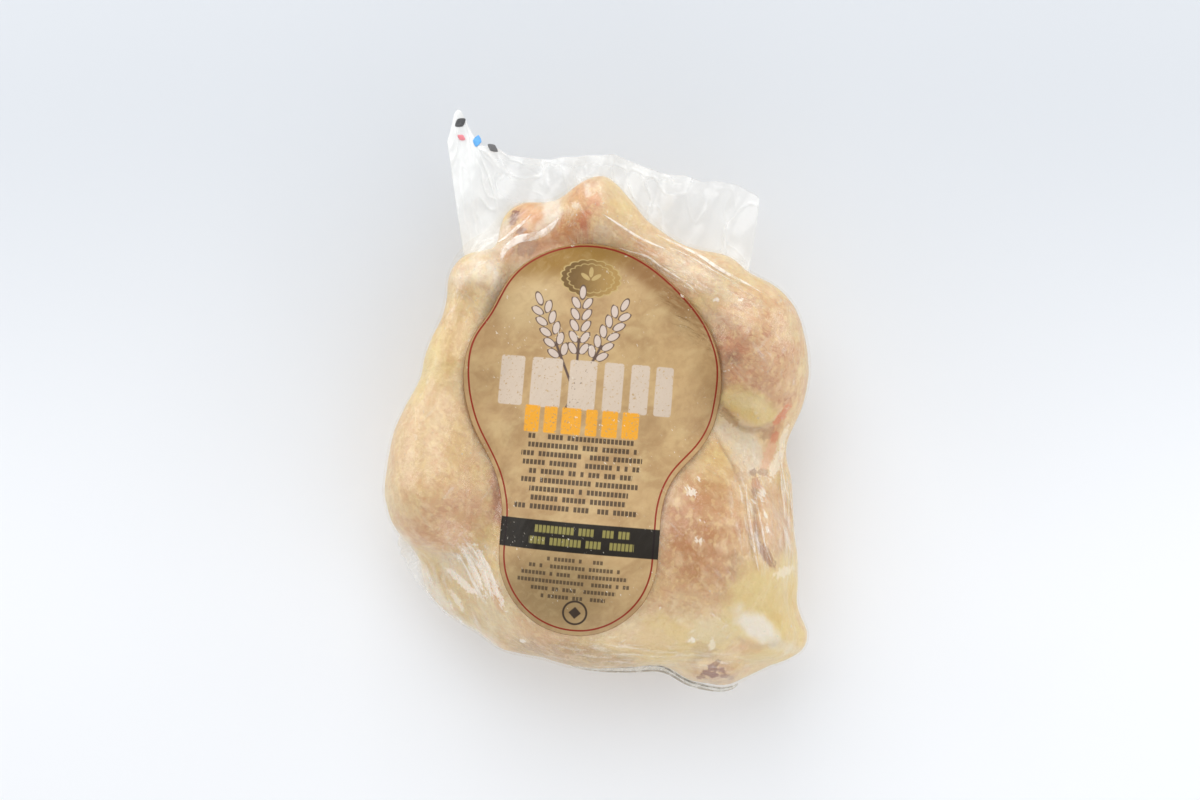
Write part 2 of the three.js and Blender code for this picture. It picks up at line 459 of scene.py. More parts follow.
def seen_plan(points: Array) -> Array:
    """Where points seem to lie, in plan at the scale level, when they are seen from the high eye point."""
    grow = (EYE[2] - SCALE_LEVEL) / (EYE[2] - points[..., 2:])
    return EYE[:2] + (points[..., :2] - EYE[:2]) * grow


def seen_rays(plan: Array) -> tuple[Array, Array]:
    """Rays from the ground to the eye point, through places in plan at the scale level."""
    start = at_level(EYE[:2] + (plan - EYE[:2]) * (EYE[2] / (EYE[2] - SCALE_LEVEL)), 0.0)
    return start, unit(EYE - start)


# ---- Meshes -----------------------------------------------------------------------------------------


@dataclass
class Piece:
    """A named mesh in millimetres: its points, its faces by index, and numbers kept at its points."""

    name: str
    points: Array
    quads: Array
    triangles: Array = field(default_factory=lambda: np.zeros((0, 3), int))
    numbers: dict[str, Array] = field(default_factory=dict)
    colours: dict[str, Array] = field(default_factory=dict)

    def build(self, material: bpy.types.Material, slot: Slot = Slot.FILM, node: str = BAG_NODE) -> None:
        """Makes the object at the origin, dresses it and fixes it to the body.

        Args:
            material: its finish.
            slot: the record's slot that the finish belongs to; it is not used.
            node: the solid that it stands for.
        """
        mesh = bpy.data.meshes.new(self.name)
        faces = [*self.quads.tolist(), *self.triangles.tolist()]
        mesh.from_pydata((self.points.reshape(-1, 3) * MM).tolist(), [], faces)
        mesh.polygons.foreach_set("use_smooth", np.ones(len(mesh.polygons), bool))
        for name, values in self.numbers.items():
            mesh.attributes.new(name, "FLOAT", "POINT").data.foreach_set("value", values.ravel())
        for name, values in self.colours.items():
            rgba = np.concatenate([values.reshape(-1, 3), np.ones((values.size // 3, 1))], axis=1)
            mesh.attributes.new(name, "FLOAT_COLOR", "POINT").data.foreach_set("color", rgba.ravel())
        mesh.materials.append(material)
        mesh.update()
        thing = placed(self.name, mesh)
        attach(thing, BODY)
        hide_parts(node)
        log.info("%s: %d faces", self.name, len(mesh.polygons))


def placed(name: str, data: bpy.types.ID, at: Sequence[float] = (0.0, 0.0, 0.0)) -> bpy.types.Object:
    """Puts a new object into the scene.

    Args:
        name: its name.
        data: its mesh, light or camera.
        at: its place.

    Returns:
        The object.
    """
    thing = bpy.data.objects.new(name, data)
    thing.location = at
    bpy.context.scene.collection.objects.link(thing)
    return thing


def quads_between(first: Array, second: Array) -> Array:
    """Faces between two matching rows of indices, the first row below or inside."""
    corners = [first[..., :-1], first[..., 1:], second[..., 1:], second[..., :-1]]
    return np.stack(corners, axis=-1).reshape(-1, 4)


def globe_faces(rings: int, spokes: int, first: int = 0) -> tuple[Array, Array]:
    """The faces of a globe: rings of points between two poles.

    Args:
        rings: how many rings it has.
        spokes: how many points a ring has.
        first: the index of its first point.

    Returns:
        The quads between its rings, and the triangles that shut it at the poles.
    """
    last = first + 1 + rings * spokes
    index = np.arange(first + 1, last).reshape(rings, spokes)
    index = np.concatenate([index, index[:, :1]], axis=1)
    south = np.stack([np.full(spokes, first), index[0, 1:], index[0, :-1]], axis=1)
    north = np.stack([np.full(spokes, last), index[-1, :-1], index[-1, 1:]], axis=1)
    return quads_between(index[:-1], index[1:]), np.concatenate([south, north])


def globe_piece(name: str, grid: Array) -> Piece:
    """A closed piece from a grid with poles as its first and last rows, each merged to one point."""
    rows, spokes = grid.shape[:2]
    return Piece(name, globe_values(grid), *globe_faces(rows - 2, spokes))


def globe_values(grid: Array) -> Array:
    """The values of a grid with poles, in the order of its piece's points."""
    return np.concatenate([grid[0, :1], grid[1:-1].reshape(-1, *grid.shape[2:]), grid[-1, :1]])


def slab_piece(name: str, top: Array, bottom: Array) -> Piece:
    """A closed thin piece between two open grids, with a wall round its rim.

    Args:
        name: its name.
        top: the upper grid, rows by columns.
        bottom: the lower grid, of the same shape.

    Returns:
        The piece.
    """
    rows, columns = top.shape[:2]
    over = np.arange(rows * columns).reshape(rows, columns)
    under = over + rows * columns
    rim = np.concatenate([over[0, :-1], over[:-1, -1], over[-1, :0:-1], over[:0:-1, 0]])
    rim = np.append(rim, rim[0])
    faces = [
        quads_between(over[:-1], over[1:]),
        quads_between(under[:-1], under[1:])[:, ::-1],
        quads_between(rim + rows * columns, rim),
    ]
    return Piece(name, np.concatenate([top.reshape(-1, 3), bottom.reshape(-1, 3)]), np.concatenate(faces))


TUBE_SIDES = 12


def tubes_piece(name: str, paths: Sequence[Array], across: Sequence[Array], up: Sequence[Array]) -> Piece:
    """Closed ridges: an oval carried along each path, drawn to a point at both ends.

    Args:
        name: the piece's name.
        paths: the ridges' middle lines.
        across: for each, the half width vector at every point of its path.
        up: for each, the half height vector at every point of its path.

    Returns:
        The ridges as one piece, with the number "crest": 1 along their tops and 0 at their sides and ends.
    """
    angle = np.linspace(0.0, 2 * math.pi, TUBE_SIDES, endpoint=False)[None, :, None]
    points, faces, crests, count = [], [], [], 0
    for path, wide, high in zip(paths, across, up):
        ring = path[1:-1, None] + np.cos(angle) * wide[1:-1, None] + np.sin(angle) * high[1:-1, None]
        points += [path[:1], ring.reshape(-1, 3), path[-1:]]
        taper = np.linalg.norm(wide[1:-1], axis=1) / np.linalg.norm(wide, axis=1).max()
        crest = np.maximum(np.sin(angle[0, :, 0]), 0.0) * taper[:, None]
        crests += [[0.0], crest.ravel(), [0.0]]
        faces.append(globe_faces(len(ring), TUBE_SIDES, count))
        count += len(ring) * TUBE_SIDES + 2
    quads, triangles = (np.concatenate(part) for part in zip(*faces))
    piece = Piece(name, np.concatenate(points), quads, triangles)
    piece.numbers["crest"] = np.concatenate(crests)
    return piece


# ---- Node graphs ------------------------------------------------------------------------------------


class Value:
    """A number, colour or shader in a graph. Arithmetic on it adds the nodes that work it out."""

    def __init__(self, graph: Graph, socket: Socket) -> None:
        """Wraps a node's output."""
        self.graph = graph
        self.socket = socket

    def __add__(self, other: Value | float) -> Value:
        """The sum."""
        return self.graph.math("ADD", self, other)

    def __sub__(self, other: Value | float) -> Value:
        """The difference."""
        return self.graph.math("SUBTRACT", self, other)

    def __rsub__(self, other: float) -> Value:
        """A plain number less this one."""
        return self.graph.math("SUBTRACT", other, self)

    def __mul__(self, other: Value | float) -> Value:
        """The product."""
        return self.graph.math("MULTIPLY", self, other)

    def __truediv__(self, other: Value | float) -> Value:
        """The quotient."""
        return self.graph.math("DIVIDE", self, other)

    def __abs__(self) -> Value:
        """The size without its sign."""
        return self.graph.math("ABSOLUTE", self)

    def larger(self, other: Value | float) -> Value:
        """The larger of two."""
        return self.graph.math("MAXIMUM", self, other)

    def step(self, low: float, high: float, most: float = 1.0) -> Value:
        """A smooth step from 0 at low up to most at high. Low may be above high."""
        return self.graph.ramp(self, (low, high), (0.0, most))

    def fall(self, low: float, high: float, most: float = 1.0, least: float = 0.0) -> Value:
        """A smooth step from most at low down to least at high."""
        return self.graph.ramp(self, (low, high), (most, least))

    def within(self, low: float, high: float, edge: float) -> Value:
        """1 between two numbers, with edges that soft on both sides of each."""
        return self.step(low - edge, low + edge) * self.fall(high - edge, high + edge)


class Graph:
    """A material's nodes, built up from its surface's coordinates."""

    def __init__(self, name: str) -> None:
        """Starts an empty material.

        Args:
            name: its name.
        """
        self.material = bpy.data.materials.new(name)
        self.material.use_nodes = True
        self.tree = self.material.node_tree
        self.tree.nodes.clear()
        self.place = self.node("TexCoord", output="Object")

    def feed(self, socket: Socket, value: Value | float | Sequence[float]) -> None:
        """Links a socket to a value, or sets it.

        Args:
            socket: the input to feed.
            value: a node's output, or a plain number, vector or colour.
        """
        if isinstance(value, Value):
            self.tree.links.new(value.socket, socket)
        elif socket.type == "RGBA":
            socket.default_value = (*value, 1.0)
        else:
            socket.default_value = value

    def node(
        self,
        kind: str,
        inputs: dict[str | int, Value | float | Sequence[float]] | None = None,
        output: str | int = 0,
        **settings: object,
    ) -> Value:
        """One output of a new node.

        Args:
            kind: the node's type, without its usual prefix.
            inputs: what its inputs are fed, by name or place.
            output: which of its outputs to return.
            **settings: its other settings.

        Returns:
            The output as a value.
        """
        made = self.tree.nodes.new(f"ShaderNode{kind}")
        for name, value in settings.items():
            setattr(made, name, value)
        for key, value in (inputs or {}).items():
            self.feed(made.inputs[key], value)
        return Value(self, made.outputs[output])

    def math(self, operation: str, *values: Value | float, clamp: bool = False) -> Value:
        """One step of arithmetic."""
        return self.node("Math", dict(enumerate(values)), operation=operation, use_clamp=clamp)

    def ramp(self, value: Value, ends: Vec2, to: Vec2) -> Value:
        """A smooth step from to[0] at ends[0] to to[1] at ends[1]."""
        inputs = {"Value": value, "From Min": ends[0], "From Max": ends[1], "To Min": to[0], "To Max": to[1]}
        return self.node("MapRange", inputs, "Result", interpolation_type="SMOOTHSTEP")

    def mix(self, share: Value | float, first: Value | Colour, second: Value | Colour) -> Value:
        """A blend of two colours."""
        return self.node("Mix", {0: share, 6: first, 7: second}, 2, data_type="RGBA")

    def number(self, name: str) -> Value:
        """A number kept at the mesh's points."""
        return self.node("Attribute", output="Fac", attribute_name=name)

    def colour(self, name: str) -> Value:
        """A colour kept at the mesh's points."""
        return self.node("Attribute", output="Color", attribute_name=name)

    def noise(
        self,
        cell: float,
        detail: float = 2.0,
        stretch: Vec3 = (1, 1, 1),
        turn: float = 0.0,
        bend: float = 0.0,
    ) -> Value:
        """Noise from 0 to 1.

        Args:
            cell: about how many millimetres across its features are.
            detail: how many finer octaves it has.
            stretch: how many times longer the features are along X, Y and Z.
            turn: how far the stretched axes are turned about Z, in degrees.
            bend: how much it is distorted.

        Returns:
            Its value.
        """
        size = tuple(1.0 / (cell * MM * s) for s in stretch)
        inputs = {"Vector": self.place, "Angle": math.radians(-turn)}
        place = self.node("VectorRotate", inputs, rotation_type="Z_AXIS")
        place = self.node("VectorMath", {0: place, 1: size}, operation="MULTIPLY")
        inputs = {"Vector": place, "Scale": 1.0, "Detail": detail, "Distortion": bend}
        return self.node("TexNoise", inputs, "Fac")

    def bump(self, height: Value, depth: float) -> Value:
        """A bumped normal, depth millimetres deep."""
        return self.node("Bump", {"Height": height, "Distance": depth * MM, "Strength": 1.0})

    def principled(self, colour: Value | Colour, roughness: float, **inputs: Value | float | Vec3) -> Value:
        """A principled shader.

        Args:
            colour: its base colour.
            roughness: how rough it is.
            **inputs: its other inputs, by their names in small letters with low lines.

        Returns:
            The shader.
        """
        named = {"Base Color": colour, "Roughness": roughness}
        for name, value in inputs.items():
            named[name.replace("_", " ").title().replace("Ior", "IOR")] = value
        return self.node("BsdfPrincipled", named)

    def blend(self, share: Value, first: Value, second: Value) -> Value:
        """A blend of two shaders."""
        return self.node("MixShader", {0: share, 1: first, 2: second})

    def finish(self, surface: Value) -> bpy.types.Material:
        """Joins the surface to the output.

        Args:
            surface: the shader.

        Returns:
            The finished material.
        """
        output = self.tree.nodes.new("ShaderNodeOutputMaterial")
        self.feed(output.inputs["Surface"], surface)
        return self.material


Place = tuple[Value, Value]


class Print(Graph):
    """A graph that lays inks over one another by each point's place on the flat label, in millimetres."""

    def __init__(self, name: str, paper: Colour) -> None:
        """Starts with bare paper.

        Args:
            name: the material's name.
            paper: the paper's colour.
        """
        super().__init__(name)
        self.x = self.number("print_x")
        self.y = self.number("print_y")
        self.colour_now: Value | Colour = paper

    def lay(self, cover: Value, ink: Value | Colour) -> None:
        """Lays an ink where its cover is 1."""
        self.colour_now = self.mix(cover, self.colour_now, ink)

    def from_point(self, centre: Vec2, turn: float = 0.0) -> Place:
        """The place along axes with another origin, turned by some degrees."""
        dx, dy = self.x - centre[0], self.y - centre[1]
        return turned(dx, dy, turn) if turn else (dx, dy)

    def length(self, along: Value, across: Value) -> Value:
        """The length of a step along both axes."""
        return self.math("SQRT", along * along + across * across)

    def block(self, place: Place, half: Vec2, corner: float = 0.8, edge: float = 0.25) -> Value:
        """Cover of a rectangle with rounded corners."""
        over = [(abs(v) - (h - corner)).larger(0.0) for v, h in zip(place, half)]
        return self.length(*over).fall(corner - edge, corner + edge)

    def radius(self, place: Place, half: Vec2) -> Value:
        """Scaled distance from an oval's centre: 1 on its rim."""
        return self.length(place[0] / half[0], place[1] / half[1])

    def chance(self, a: Value | float, b: Value | float) -> Value:
        """A random number from 0 to 1 for each pair of whole numbers."""
        pair = self.node("CombineXYZ", {0: a, 1: b})
        return self.node("TexWhiteNoise", {"Vector": pair}, "Value", noise_dimensions="2D")


# ---- Finishes ---------------------------------------------------------------------------------------


@dataclass(frozen=True)
class RawSkin:
    """Moist raw skin: painted in patches, marbled and pored, with light carried under its surface."""

    pores_in_a_metre: float = 310.0
    blush: Colour = shown(212, 152, 108)
    vein: Colour = shown(178, 112, 72)
    pale: Colour = shown(252, 232, 190)
    pore: Colour = shown(196, 140, 96)
    fleck: Colour = shown(236, 208, 148)

    def build(self) -> bpy.types.Material:
        """Lays blush, marbling, flecks, veins, frayed marks and pores over the paint, less on smooth fat.

        Returns:
            The material.
        """
        g = Graph("raw_skin")
        mottle, grain = g.number("mottle"), g.number("grain")
        clouds = g.noise(10.0, 4.0, bend=0.5)
        marbling = g.noise(4.6, 6.0, (1, 1.4, 1), 30, 0.5)
        veins = g.noise(2.2, 6.0, (1, 2, 1), 62, 0.8)
        flecks = g.noise(2.4, 5.0, (1, 1.5, 1), -20, 0.4)
        frayed = g.noise(1.9, 6.0, bend=0.8) * 1.9 + g.number("mark")
        inputs = {"Vector": g.place, "Scale": self.pores_in_a_metre, "Randomness": 1.0}
        pores = g.node("TexVoronoi", inputs, "Distance")
        layers = (
            (clouds.step(0.44, 0.68) * (mottle * 0.55 + 0.06) * grain, self.blush),
            (marbling.step(0.46, 0.7) * (mottle * -0.1 + 0.3) * grain, self.pale),
            (flecks.step(0.53, 0.62, 0.3) * grain, self.fleck),
            (flecks.step(0.46, 0.38, 0.2) * grain, self.blush),
            (veins.step(0.51, 0.62) * (mottle * 0.7 + 0.02) * grain, self.vein),
            (frayed.step(1.3, 1.58) * g.number("mark_share"), g.colour("mark_paint")),
            (pores.fall(0.1, 0.24, 0.22) * grain, self.pore),
        )
        colour = g.colour("paint")
        for share, ink in layers:
            colour = g.mix(share, colour, ink)
        relief = marbling * 1.1 + g.noise(1.3, 3.0) * 0.5 + pores.step(0.05, 0.3, 0.16)
        shader = g.principled(
            colour,
            0.42,
            subsurface_weight=0.2,
            subsurface_radius=(1.0, 0.45, 0.22),
            subsurface_scale=3 * MM,
            coat_weight=0.4,
            coat_roughness=0.2,
            normal=g.bump(relief, 0.55),
        )
        return g.finish(shader)


@dataclass(frozen=True)
class Pleats(Oval):
    """An oval of fine gathers in the film, which all run nearly one way.

    Attributes:
        name: the name of the number that keeps its share at each point.
        heading: the angle that its gathers run at, in degrees.
        width: how wide a gather is.
        haze: how milky its gathers are.
        rim: the scaled distances from its middle where it starts and is full.
    """

    name: str
    heading: float
    width: float
    haze: float
    rim: Vec2 = (1.15, 0.45)

    def share(self, plan: Array) -> Array:
        """1 in its middle, easing to 0 at its rim."""
        return ease(self.radius(plan), *self.rim)

    def gathers(self, g: Graph) -> Value:
        """Stripes along the heading, of uneven width and length, where its share is kept."""
        stripes = g.noise(self.width, 4.0, (1, 7, 3), self.heading - 90.0, 0.4)
        return stripes.step(0.46, 0.7) * g.number(self.name)


@dataclass(frozen=True)
class ClearFilm:
    """Clear film: mostly see-through, a little shiny, and milky where it stands off, gathers or frosts."""

    name: str
    least_haze: float
    gap_haze: float
    streak_haze: float
    frost: float
    pleats: tuple[Pleats, ...] = ()
    mirror: float = 0.035
    roughness: float = 0.16
    wrinkle: float = 0.4
    milk: Colour = (0.96, 0.92, 0.84)

    def build(self) -> bpy.types.Material:
        """Mixes a see-through shader with a milky one by haze, and both with a weak mirror.

        Returns:
            The material.
        """
        g = Graph(self.name)
        streaks = g.noise(2.4, 4.0, (1, 8, 1), -38, 0.35)
        more_streaks = g.noise(3.0, 4.0, (1, 7, 1), 38, 0.4)
        folds = streaks.step(0.58, 0.8).larger(more_streaks.step(0.6, 0.82))
        folds = folds * g.noise(24.0, 3.0).step(0.42, 0.62)
        specks = g.noise(1.1, 3.0, (1, 1.5, 1), 60, 0.6).step(0.665, 0.73)
        specks = specks * g.noise(13.0, 3.0).step(0.52, 0.64, self.frost)
        haze = folds * self.streak_haze + self.least_haze + g.number("gap") * self.gap_haze
        height = more_streaks * 0.7 + streaks
        for pleats in self.pleats:
            gathers = pleats.gathers(g)
            haze = haze + gathers * pleats.haze
            height = height + gathers * 0.8
            folds = folds.larger(gathers)
        haze = g.math("ADD", haze, specks, clamp=True)
        normal = g.bump(height, self.wrinkle)
        clear = g.node("BsdfTransparent", {"Color": (0.995, 0.99, 0.98)})
        milky = g.principled(self.milk, 0.45, normal=normal)
        mirror = g.node("BsdfGlossy", {"Color": (1, 1, 1), "Roughness": self.roughness, "Normal": normal})
        return g.finish(g.blend(folds * 0.08 + self.mirror, g.blend(haze, clear, milky), mirror))


@dataclass(frozen=True)
class GatheredFilm:
    """Film gathered into a ridge: milky along its crest, clear at its sides, and glossy. On the folds the
    milky crest is partly whitened film and partly a painted highlight.
    """

    name: str
    haze: float
    milk: Colour

    def build(self) -> bpy.types.Material:
        """Mixes a see-through shader with a milky one, by the crest and a share that breaks up along it.

        Returns:
            The material.
        """
        g = Graph(self.name)
        broken = g.ramp(g.noise(4.0, 3.0), (0.32, 0.62), (0.3 * self.haze, self.haze))
        clear = g.node("BsdfTransparent", {"Color": (0.99, 0.985, 0.97)})
        milky = g.principled(self.milk, 0.25, coat_weight=0.5)
        return g.finish(g.blend(broken * g.number("crest").step(0.0, 0.6), clear, milky))


@dataclass(frozen=True)
class Ink:
    """Matt ink printed on film."""

    name: str
    colour: Colour
    mottle: float = 0.12

    def build(self) -> bpy.types.Material:
        """A rough surface with a slight mottle.

        Returns:
            The material.
        """
        g = Graph(self.name)
        lighter = tuple(min(1.0, self.mottle + c) for c in self.colour)
        return g.finish(g.principled(g.mix(g.noise(1.5), self.colour, lighter), 0.5))


@dataclass(frozen=True)
class Seal:
    """A gold oval with a scalloped rim, a ring inside it and three plain leaves."""

    centre: Vec2 = (-4.5, 43.7)
    half: Vec2 = (13.2, 8.4)
    scallops: int = 18
    leaves: tuple[Vec2, ...] = ((90.0, 0.4), (35.0, -0.8), (145.0, -0.8))
    leaf_half: Vec2 = (2.5, 1.0)
    leaf_out: Vec2 = (2.9, 2.3)
    gold: Colour = shown(112, 84, 42)
    shine: Colour = shown(172, 138, 80)
    ring: Colour = shown(190, 164, 108)

    def lay(self, g: Print) -> None:
        """Lays the rim, the gold, the ring, and each leaf by its bearing in degrees and its rise.

        Args:
            g: the print that it is laid on.
        """
        x, y = place = g.from_point(self.centre)
        bearing = g.math("ARCTAN2", y / self.half[1], x / self.half[0])
        scallop = abs(g.math("SINE", bearing * (self.scallops / 2)))
        radius = scallop * -0.07 + g.radius(place, self.half)
        g.lay(radius.fall(0.94, 1.0), self.ring)
        g.lay(radius.fall(0.9, 0.94), g.mix(x.step(-10.0, 12.0), self.gold, self.shine))
        g.lay(radius.within(0.70, 0.74, 0.03), self.ring)
        for turn, rise in self.leaves:
            a = math.radians(turn)
            out_x, out_y = self.leaf_out[0] * math.cos(a), self.leaf_out[1] * math.sin(a)
            middle = (self.centre[0] + out_x, self.centre[1] + rise + out_y)
            g.lay(g.radius(g.from_point(middle, turn), self.leaf_half).fall(0.85, 1.05, 0.9), self.ring)


@dataclass(frozen=True)
class Sheaf:
    """Three ears of wheat on crossed stalks."""

    tie: Vec2 = (-7.4, -7.0)
    lean: float = 25.0
    first_grain: float = 17.0
    grain_pitch: float = 5.0
    grains: int = 5
    grain_half: Vec2 = (3.3, 1.75)
    grain_out: float = 2.5
    grain_turn: float = 32.0
    tip_half: Vec2 = (3.4, 1.6)
    tip_gap: float = 2.2
    stalk_middle: float = 8.0
    stalk_half: Vec2 = (16.0, 0.55)
    pale: Colour = shown(212, 194, 180)
    outline: Colour = shown(96, 76, 66)

    def lay(self, g: Print) -> None:
        """Lays each ear: grains in pairs at an even pitch along a stalk, with one at the tip.

        Args:
            g: the print that it is laid on.
        """
        ear = self.grain_pitch * self.grains
        for lean in (self.lean, -self.lean, 0.0):
            along, across = g.from_point(self.tie, 90.0 + lean)
            g.lay(g.block((along - self.stalk_middle, across), self.stalk_half, 0.3), self.outline)
            from_first = along - self.first_grain
            step = (g.math("FRACT", from_first / self.grain_pitch) - 0.5) * self.grain_pitch
            grain = g.radius(turned(step, abs(across) - self.grain_out, self.grain_turn), self.grain_half)
            tip = g.radius((from_first - (ear + self.tip_gap), across), self.tip_half)
            row = from_first.within(0.0, ear, 0.1)
            for rim, ink in ((1.0, self.outline), (0.78, self.pale)):
                ends = (rim - 0.06, rim + 0.06, 0.95)
                g.lay((grain.fall(*ends) * row).larger(tip.fall(*ends)), ink)


@dataclass(frozen=True)
class BlockRow:
    """A row of worn blocks of uneven widths, in one ink."""

    spans: tuple[Vec2, ...]
    middle: float
    half_height: float
    ink: Colour
    wear: float
    corner: float = 1.2

    def lay(self, g: Print) -> None:
        """Lays the blocks, with their ink worn off in specks.

        Args:
            g: the print that they are laid on.
        """
        worn = g.noise(1.0, 6.0).fall(0.48 + self.wear, 0.6 + self.wear, 1.0, 0.1)
        for low, high in self.spans:
            place = g.from_point(((low + high) / 2, self.middle))
            block = g.block(place, ((high - low) / 2, self.half_height), self.corner)
            g.lay(block * worn, self.ink)


@dataclass(frozen=True)
class DashRows:
    """Rows of small dashes, centred, each row of its own width.

    Attributes:
        top: where the first row starts.
        pitch: how far apart the rows are.
        count: how many rows there are.
        middle: what the rows are centred on.
        widths: the least and the greatest half width of a row.
        dash: how long a dash and its gap are.
        ink: the dashes' colour.
        seed: what sets the rows' gaps apart from those of other rows.
        strength: how much of the colour is laid.
        fill: how much of the pitch a dash stands tall.
        missing: the chance that a dash is left out.
    """

    top: float
    pitch: float
    count: int
    middle: float
    widths: Vec2
    dash: float
    ink: Colour
    seed: float
    strength: float = 0.88
    fill: float = 0.58
    missing: float = 0.16

    def lay(self, g: Print) -> None:
        """Lays the rows: a dash fills its cell by chance, so that runs of them have gaps.

        Args:
            g: the print that they are laid on.
        """
        down = (self.top - g.y) / self.pitch
        row = g.math("FLOOR", down)
        x = g.x - self.middle
        cell = x / self.dash
        here = g.math("GREATER_THAN", g.chance(g.math("FLOOR", cell), row + self.seed), self.missing)
        here = here * g.math("FRACT", cell).within(0.06, 0.84, 0.06)
        width = g.chance(row, self.seed + 40.0) * (self.widths[1] - self.widths[0]) + self.widths[0]
        here = here * g.math("LESS_THAN", abs(x), width)
        here = here * g.math("FRACT", down).within(0.5 - self.fill / 2, 0.5 + self.fill / 2, 0.06)
        g.lay(here * down.within(0.0, float(self.count), 0.01) * self.strength, self.ink)


@dataclass(frozen=True)
class PrintedLabel:
    """The label's print: brown paper tones, a red line inside its edge, and plain shapes of ink."""

    paper: Colour = shown(194, 162, 116)
    shade: Colour = shown(160, 125, 84)
    glow: Colour = shown(205, 178, 130)
    line: Colour = shown(142, 42, 22)
    edge: Colour = shown(150, 104, 62)
    ink: Colour = shown(64, 50, 38)
    band: Colour = shown(8, 9, 9)
    olive: Colour = shown(150, 140, 78)
    white: Colour = shown(210, 192, 172)
    orange: Colour = shown(236, 166, 50)
    tones: tuple[tuple[Vec2, Vec2, float, float, Colour], ...] = (
        # The first tone is painted shade, where the crown's right dips into the hollow beside the drumstick.
        ((27.0, 45.0), (46.0, 9.0), -34.0, 0.68, shown(138, 94, 50)),
        ((-14.0, 52.0), (36.0, 12.0), 14.0, 0.85, shown(148, 110, 40)),
        ((-30.0, 30.0), (20.0, 14.0), 40.0, 0.5, shown(208, 184, 138)),
        ((20.0, 8.0), (30.0, 10.0), 0.0, 0.35, shown(202, 172, 122)),
        ((-8.0, -92.0), (30.0, 22.0), 0.0, 0.75, shown(142, 118, 80)),
        ((38.0, 4.0), (16.0, 24.0), 0.0, 0.5, shown(206, 172, 122)),
    )
    whites: tuple[Vec2, ...] = (
        (-40.6, -29.8), (-26.6, -13.4), (-10.2, 1.6), (4.8, 13.2), (16.4, 24.4), (27.2, 34.8)
    )
    oranges: tuple[Vec2, ...] = (
        (-28.0, -21.6), (-19.6, -14.0), (-12.0, -3.6), (-1.6, 3.4), (5.4, 12.2), (14.2, 21.4)
    )
    band_middle: Vec2 = (0.0, -69.2)
    band_half: Vec2 = (60.0, 6.3)
    stamp: Vec2 = (0.6, -101.0)
    stamp_half: Vec2 = (5.4, 5.4)
    lozenge_half: Vec2 = (1.9, 1.9)

    def lay_paper(self, g: Print) -> None:
        """Brown tones in soft blotches, with its darker and lighter parts, darker sides and fine fibres. One
        darker part is painted shade beside the drumstick.

        Args:
            g: the print.
        """
        g.lay(g.noise(13.0, 5.0, bend=0.6).step(0.36, 0.66, 0.6), self.shade)
        g.lay(g.noise(8.0, 5.0, (2, 1, 1), 20, 0.5).step(0.5, 0.72, 0.6), self.glow)
        for centre, half, turn, share, tone in self.tones:
            g.lay(g.radius(g.from_point(centre, turn), half).fall(0.3, 1.15, share), tone)
        g.lay(abs(g.x).step(38.0, 60.0, 0.4), shown(160, 124, 82))
        fibres = g.noise(3.0, 6.0, (1.3, 1, 1), 30, 0.6)
        g.lay(fibres.step(0.48, 0.7, 0.2), self.glow)
        g.lay(fibres.step(0.52, 0.3, 0.2), self.shade)

    def lay_border(self, g: Print) -> None:
        """The thin edge line and the red line inside it, which runs nearer the edge round the crown.

        Args:
            g: the print.
        """
        inset = g.number("inset")
        g.lay((inset + g.y.step(-8.0, 18.0, 1.35)).within(2.0, 2.75, 0.1), self.line)
        g.lay(inset.fall(0.15, 0.45, 0.9), self.edge)

    def lay_crease_shade_and_highlights(self, g: Print) -> Value:
        """Painted shade in creases, with painted highlights along their sides, at the crown's right, where
        the label spans the drumstick's hollow.

        Args:
            g: the print.

        Returns:
            How strong the painted crease shade is, for the relief.
        """
        where = g.radius(g.from_point((40.0, 30.0), -46.0), (24.0, 9.0)).step(1.1, 0.4)
        stripes = g.noise(2.2, 3.0, (9, 1, 1), -26, 0.3)
        dark = stripes.step(0.5, 0.36) * where
        # Painted shade in the creases.
        g.lay(dark * 0.16, shown(122, 98, 60))
        # Painted highlights along the creases' sides.
        g.lay(stripes.step(0.56, 0.7, 0.3) * where, shown(214, 192, 146))
        return dark

    def lay_stamp(self, g: Print) -> None:
        """A ring round a lozenge, at the stem's end."""
        g.lay(g.radius(g.from_point(self.stamp), self.stamp_half).within(0.84, 1.0, 0.04), self.ink)
        g.lay(g.block(g.from_point(self.stamp, 45.0), self.lozenge_half, 0.3), self.ink)

    def build(self) -> bpy.types.Material:
        """Lays the inks over the paper, and covers them in film with soft wrinkles.

        Returns:
            The material.
        """
        g = Print("label_print", self.paper)
        self.lay_paper(g)
        self.lay_border(g)
        Seal().lay(g)
        Sheaf().lay(g)
        BlockRow(self.whites, -3.4, 10.8, self.white, 0.1).lay(g)
        BlockRow(self.oranges, -19.4, 5.8, self.orange, 0.08, 0.7).lay(g)
        DashRows(-25.0, 3.8, 9, -2.0, (20.0, 28.0), 1.7, self.ink, 3.0).lay(g)
        g.lay(g.block(g.from_point(self.band_middle), self.band_half, 0.2), self.band)
        DashRows(-64.0, 5.0, 2, 1.0, (18.0, 29.0), 1.7, self.olive, 11.0, 0.9, 0.62).lay(g)
        DashRows(-77.2, 3.2, 6, -1.0, (12.0, 25.0), 1.5, self.ink, 23.0, 0.8, 0.52).lay(g)
        self.lay_stamp(g)
        scuffs = g.noise(1.2, 4.0, (1, 1.8, 1), 35).step(0.65, 0.72)
        g.lay(scuffs * g.noise(17.0).step(0.46, 0.6, 0.75), shown(232, 224, 208))
        wrinkles = self.lay_crease_shade_and_highlights(g) * -0.3 + g.noise(6.0, 4.0, (1, 3.5, 1), -30)
        shader = g.principled(
            g.colour_now,
            0.45,
            specular_ior_level=0.2,
            coat_weight=0.08,
            coat_roughness=0.2,
            normal=g.bump(wrinkles, 0.9),
        )
        return g.finish(shader)


# ---- Studio -----------------------------------------------------------------------------------------


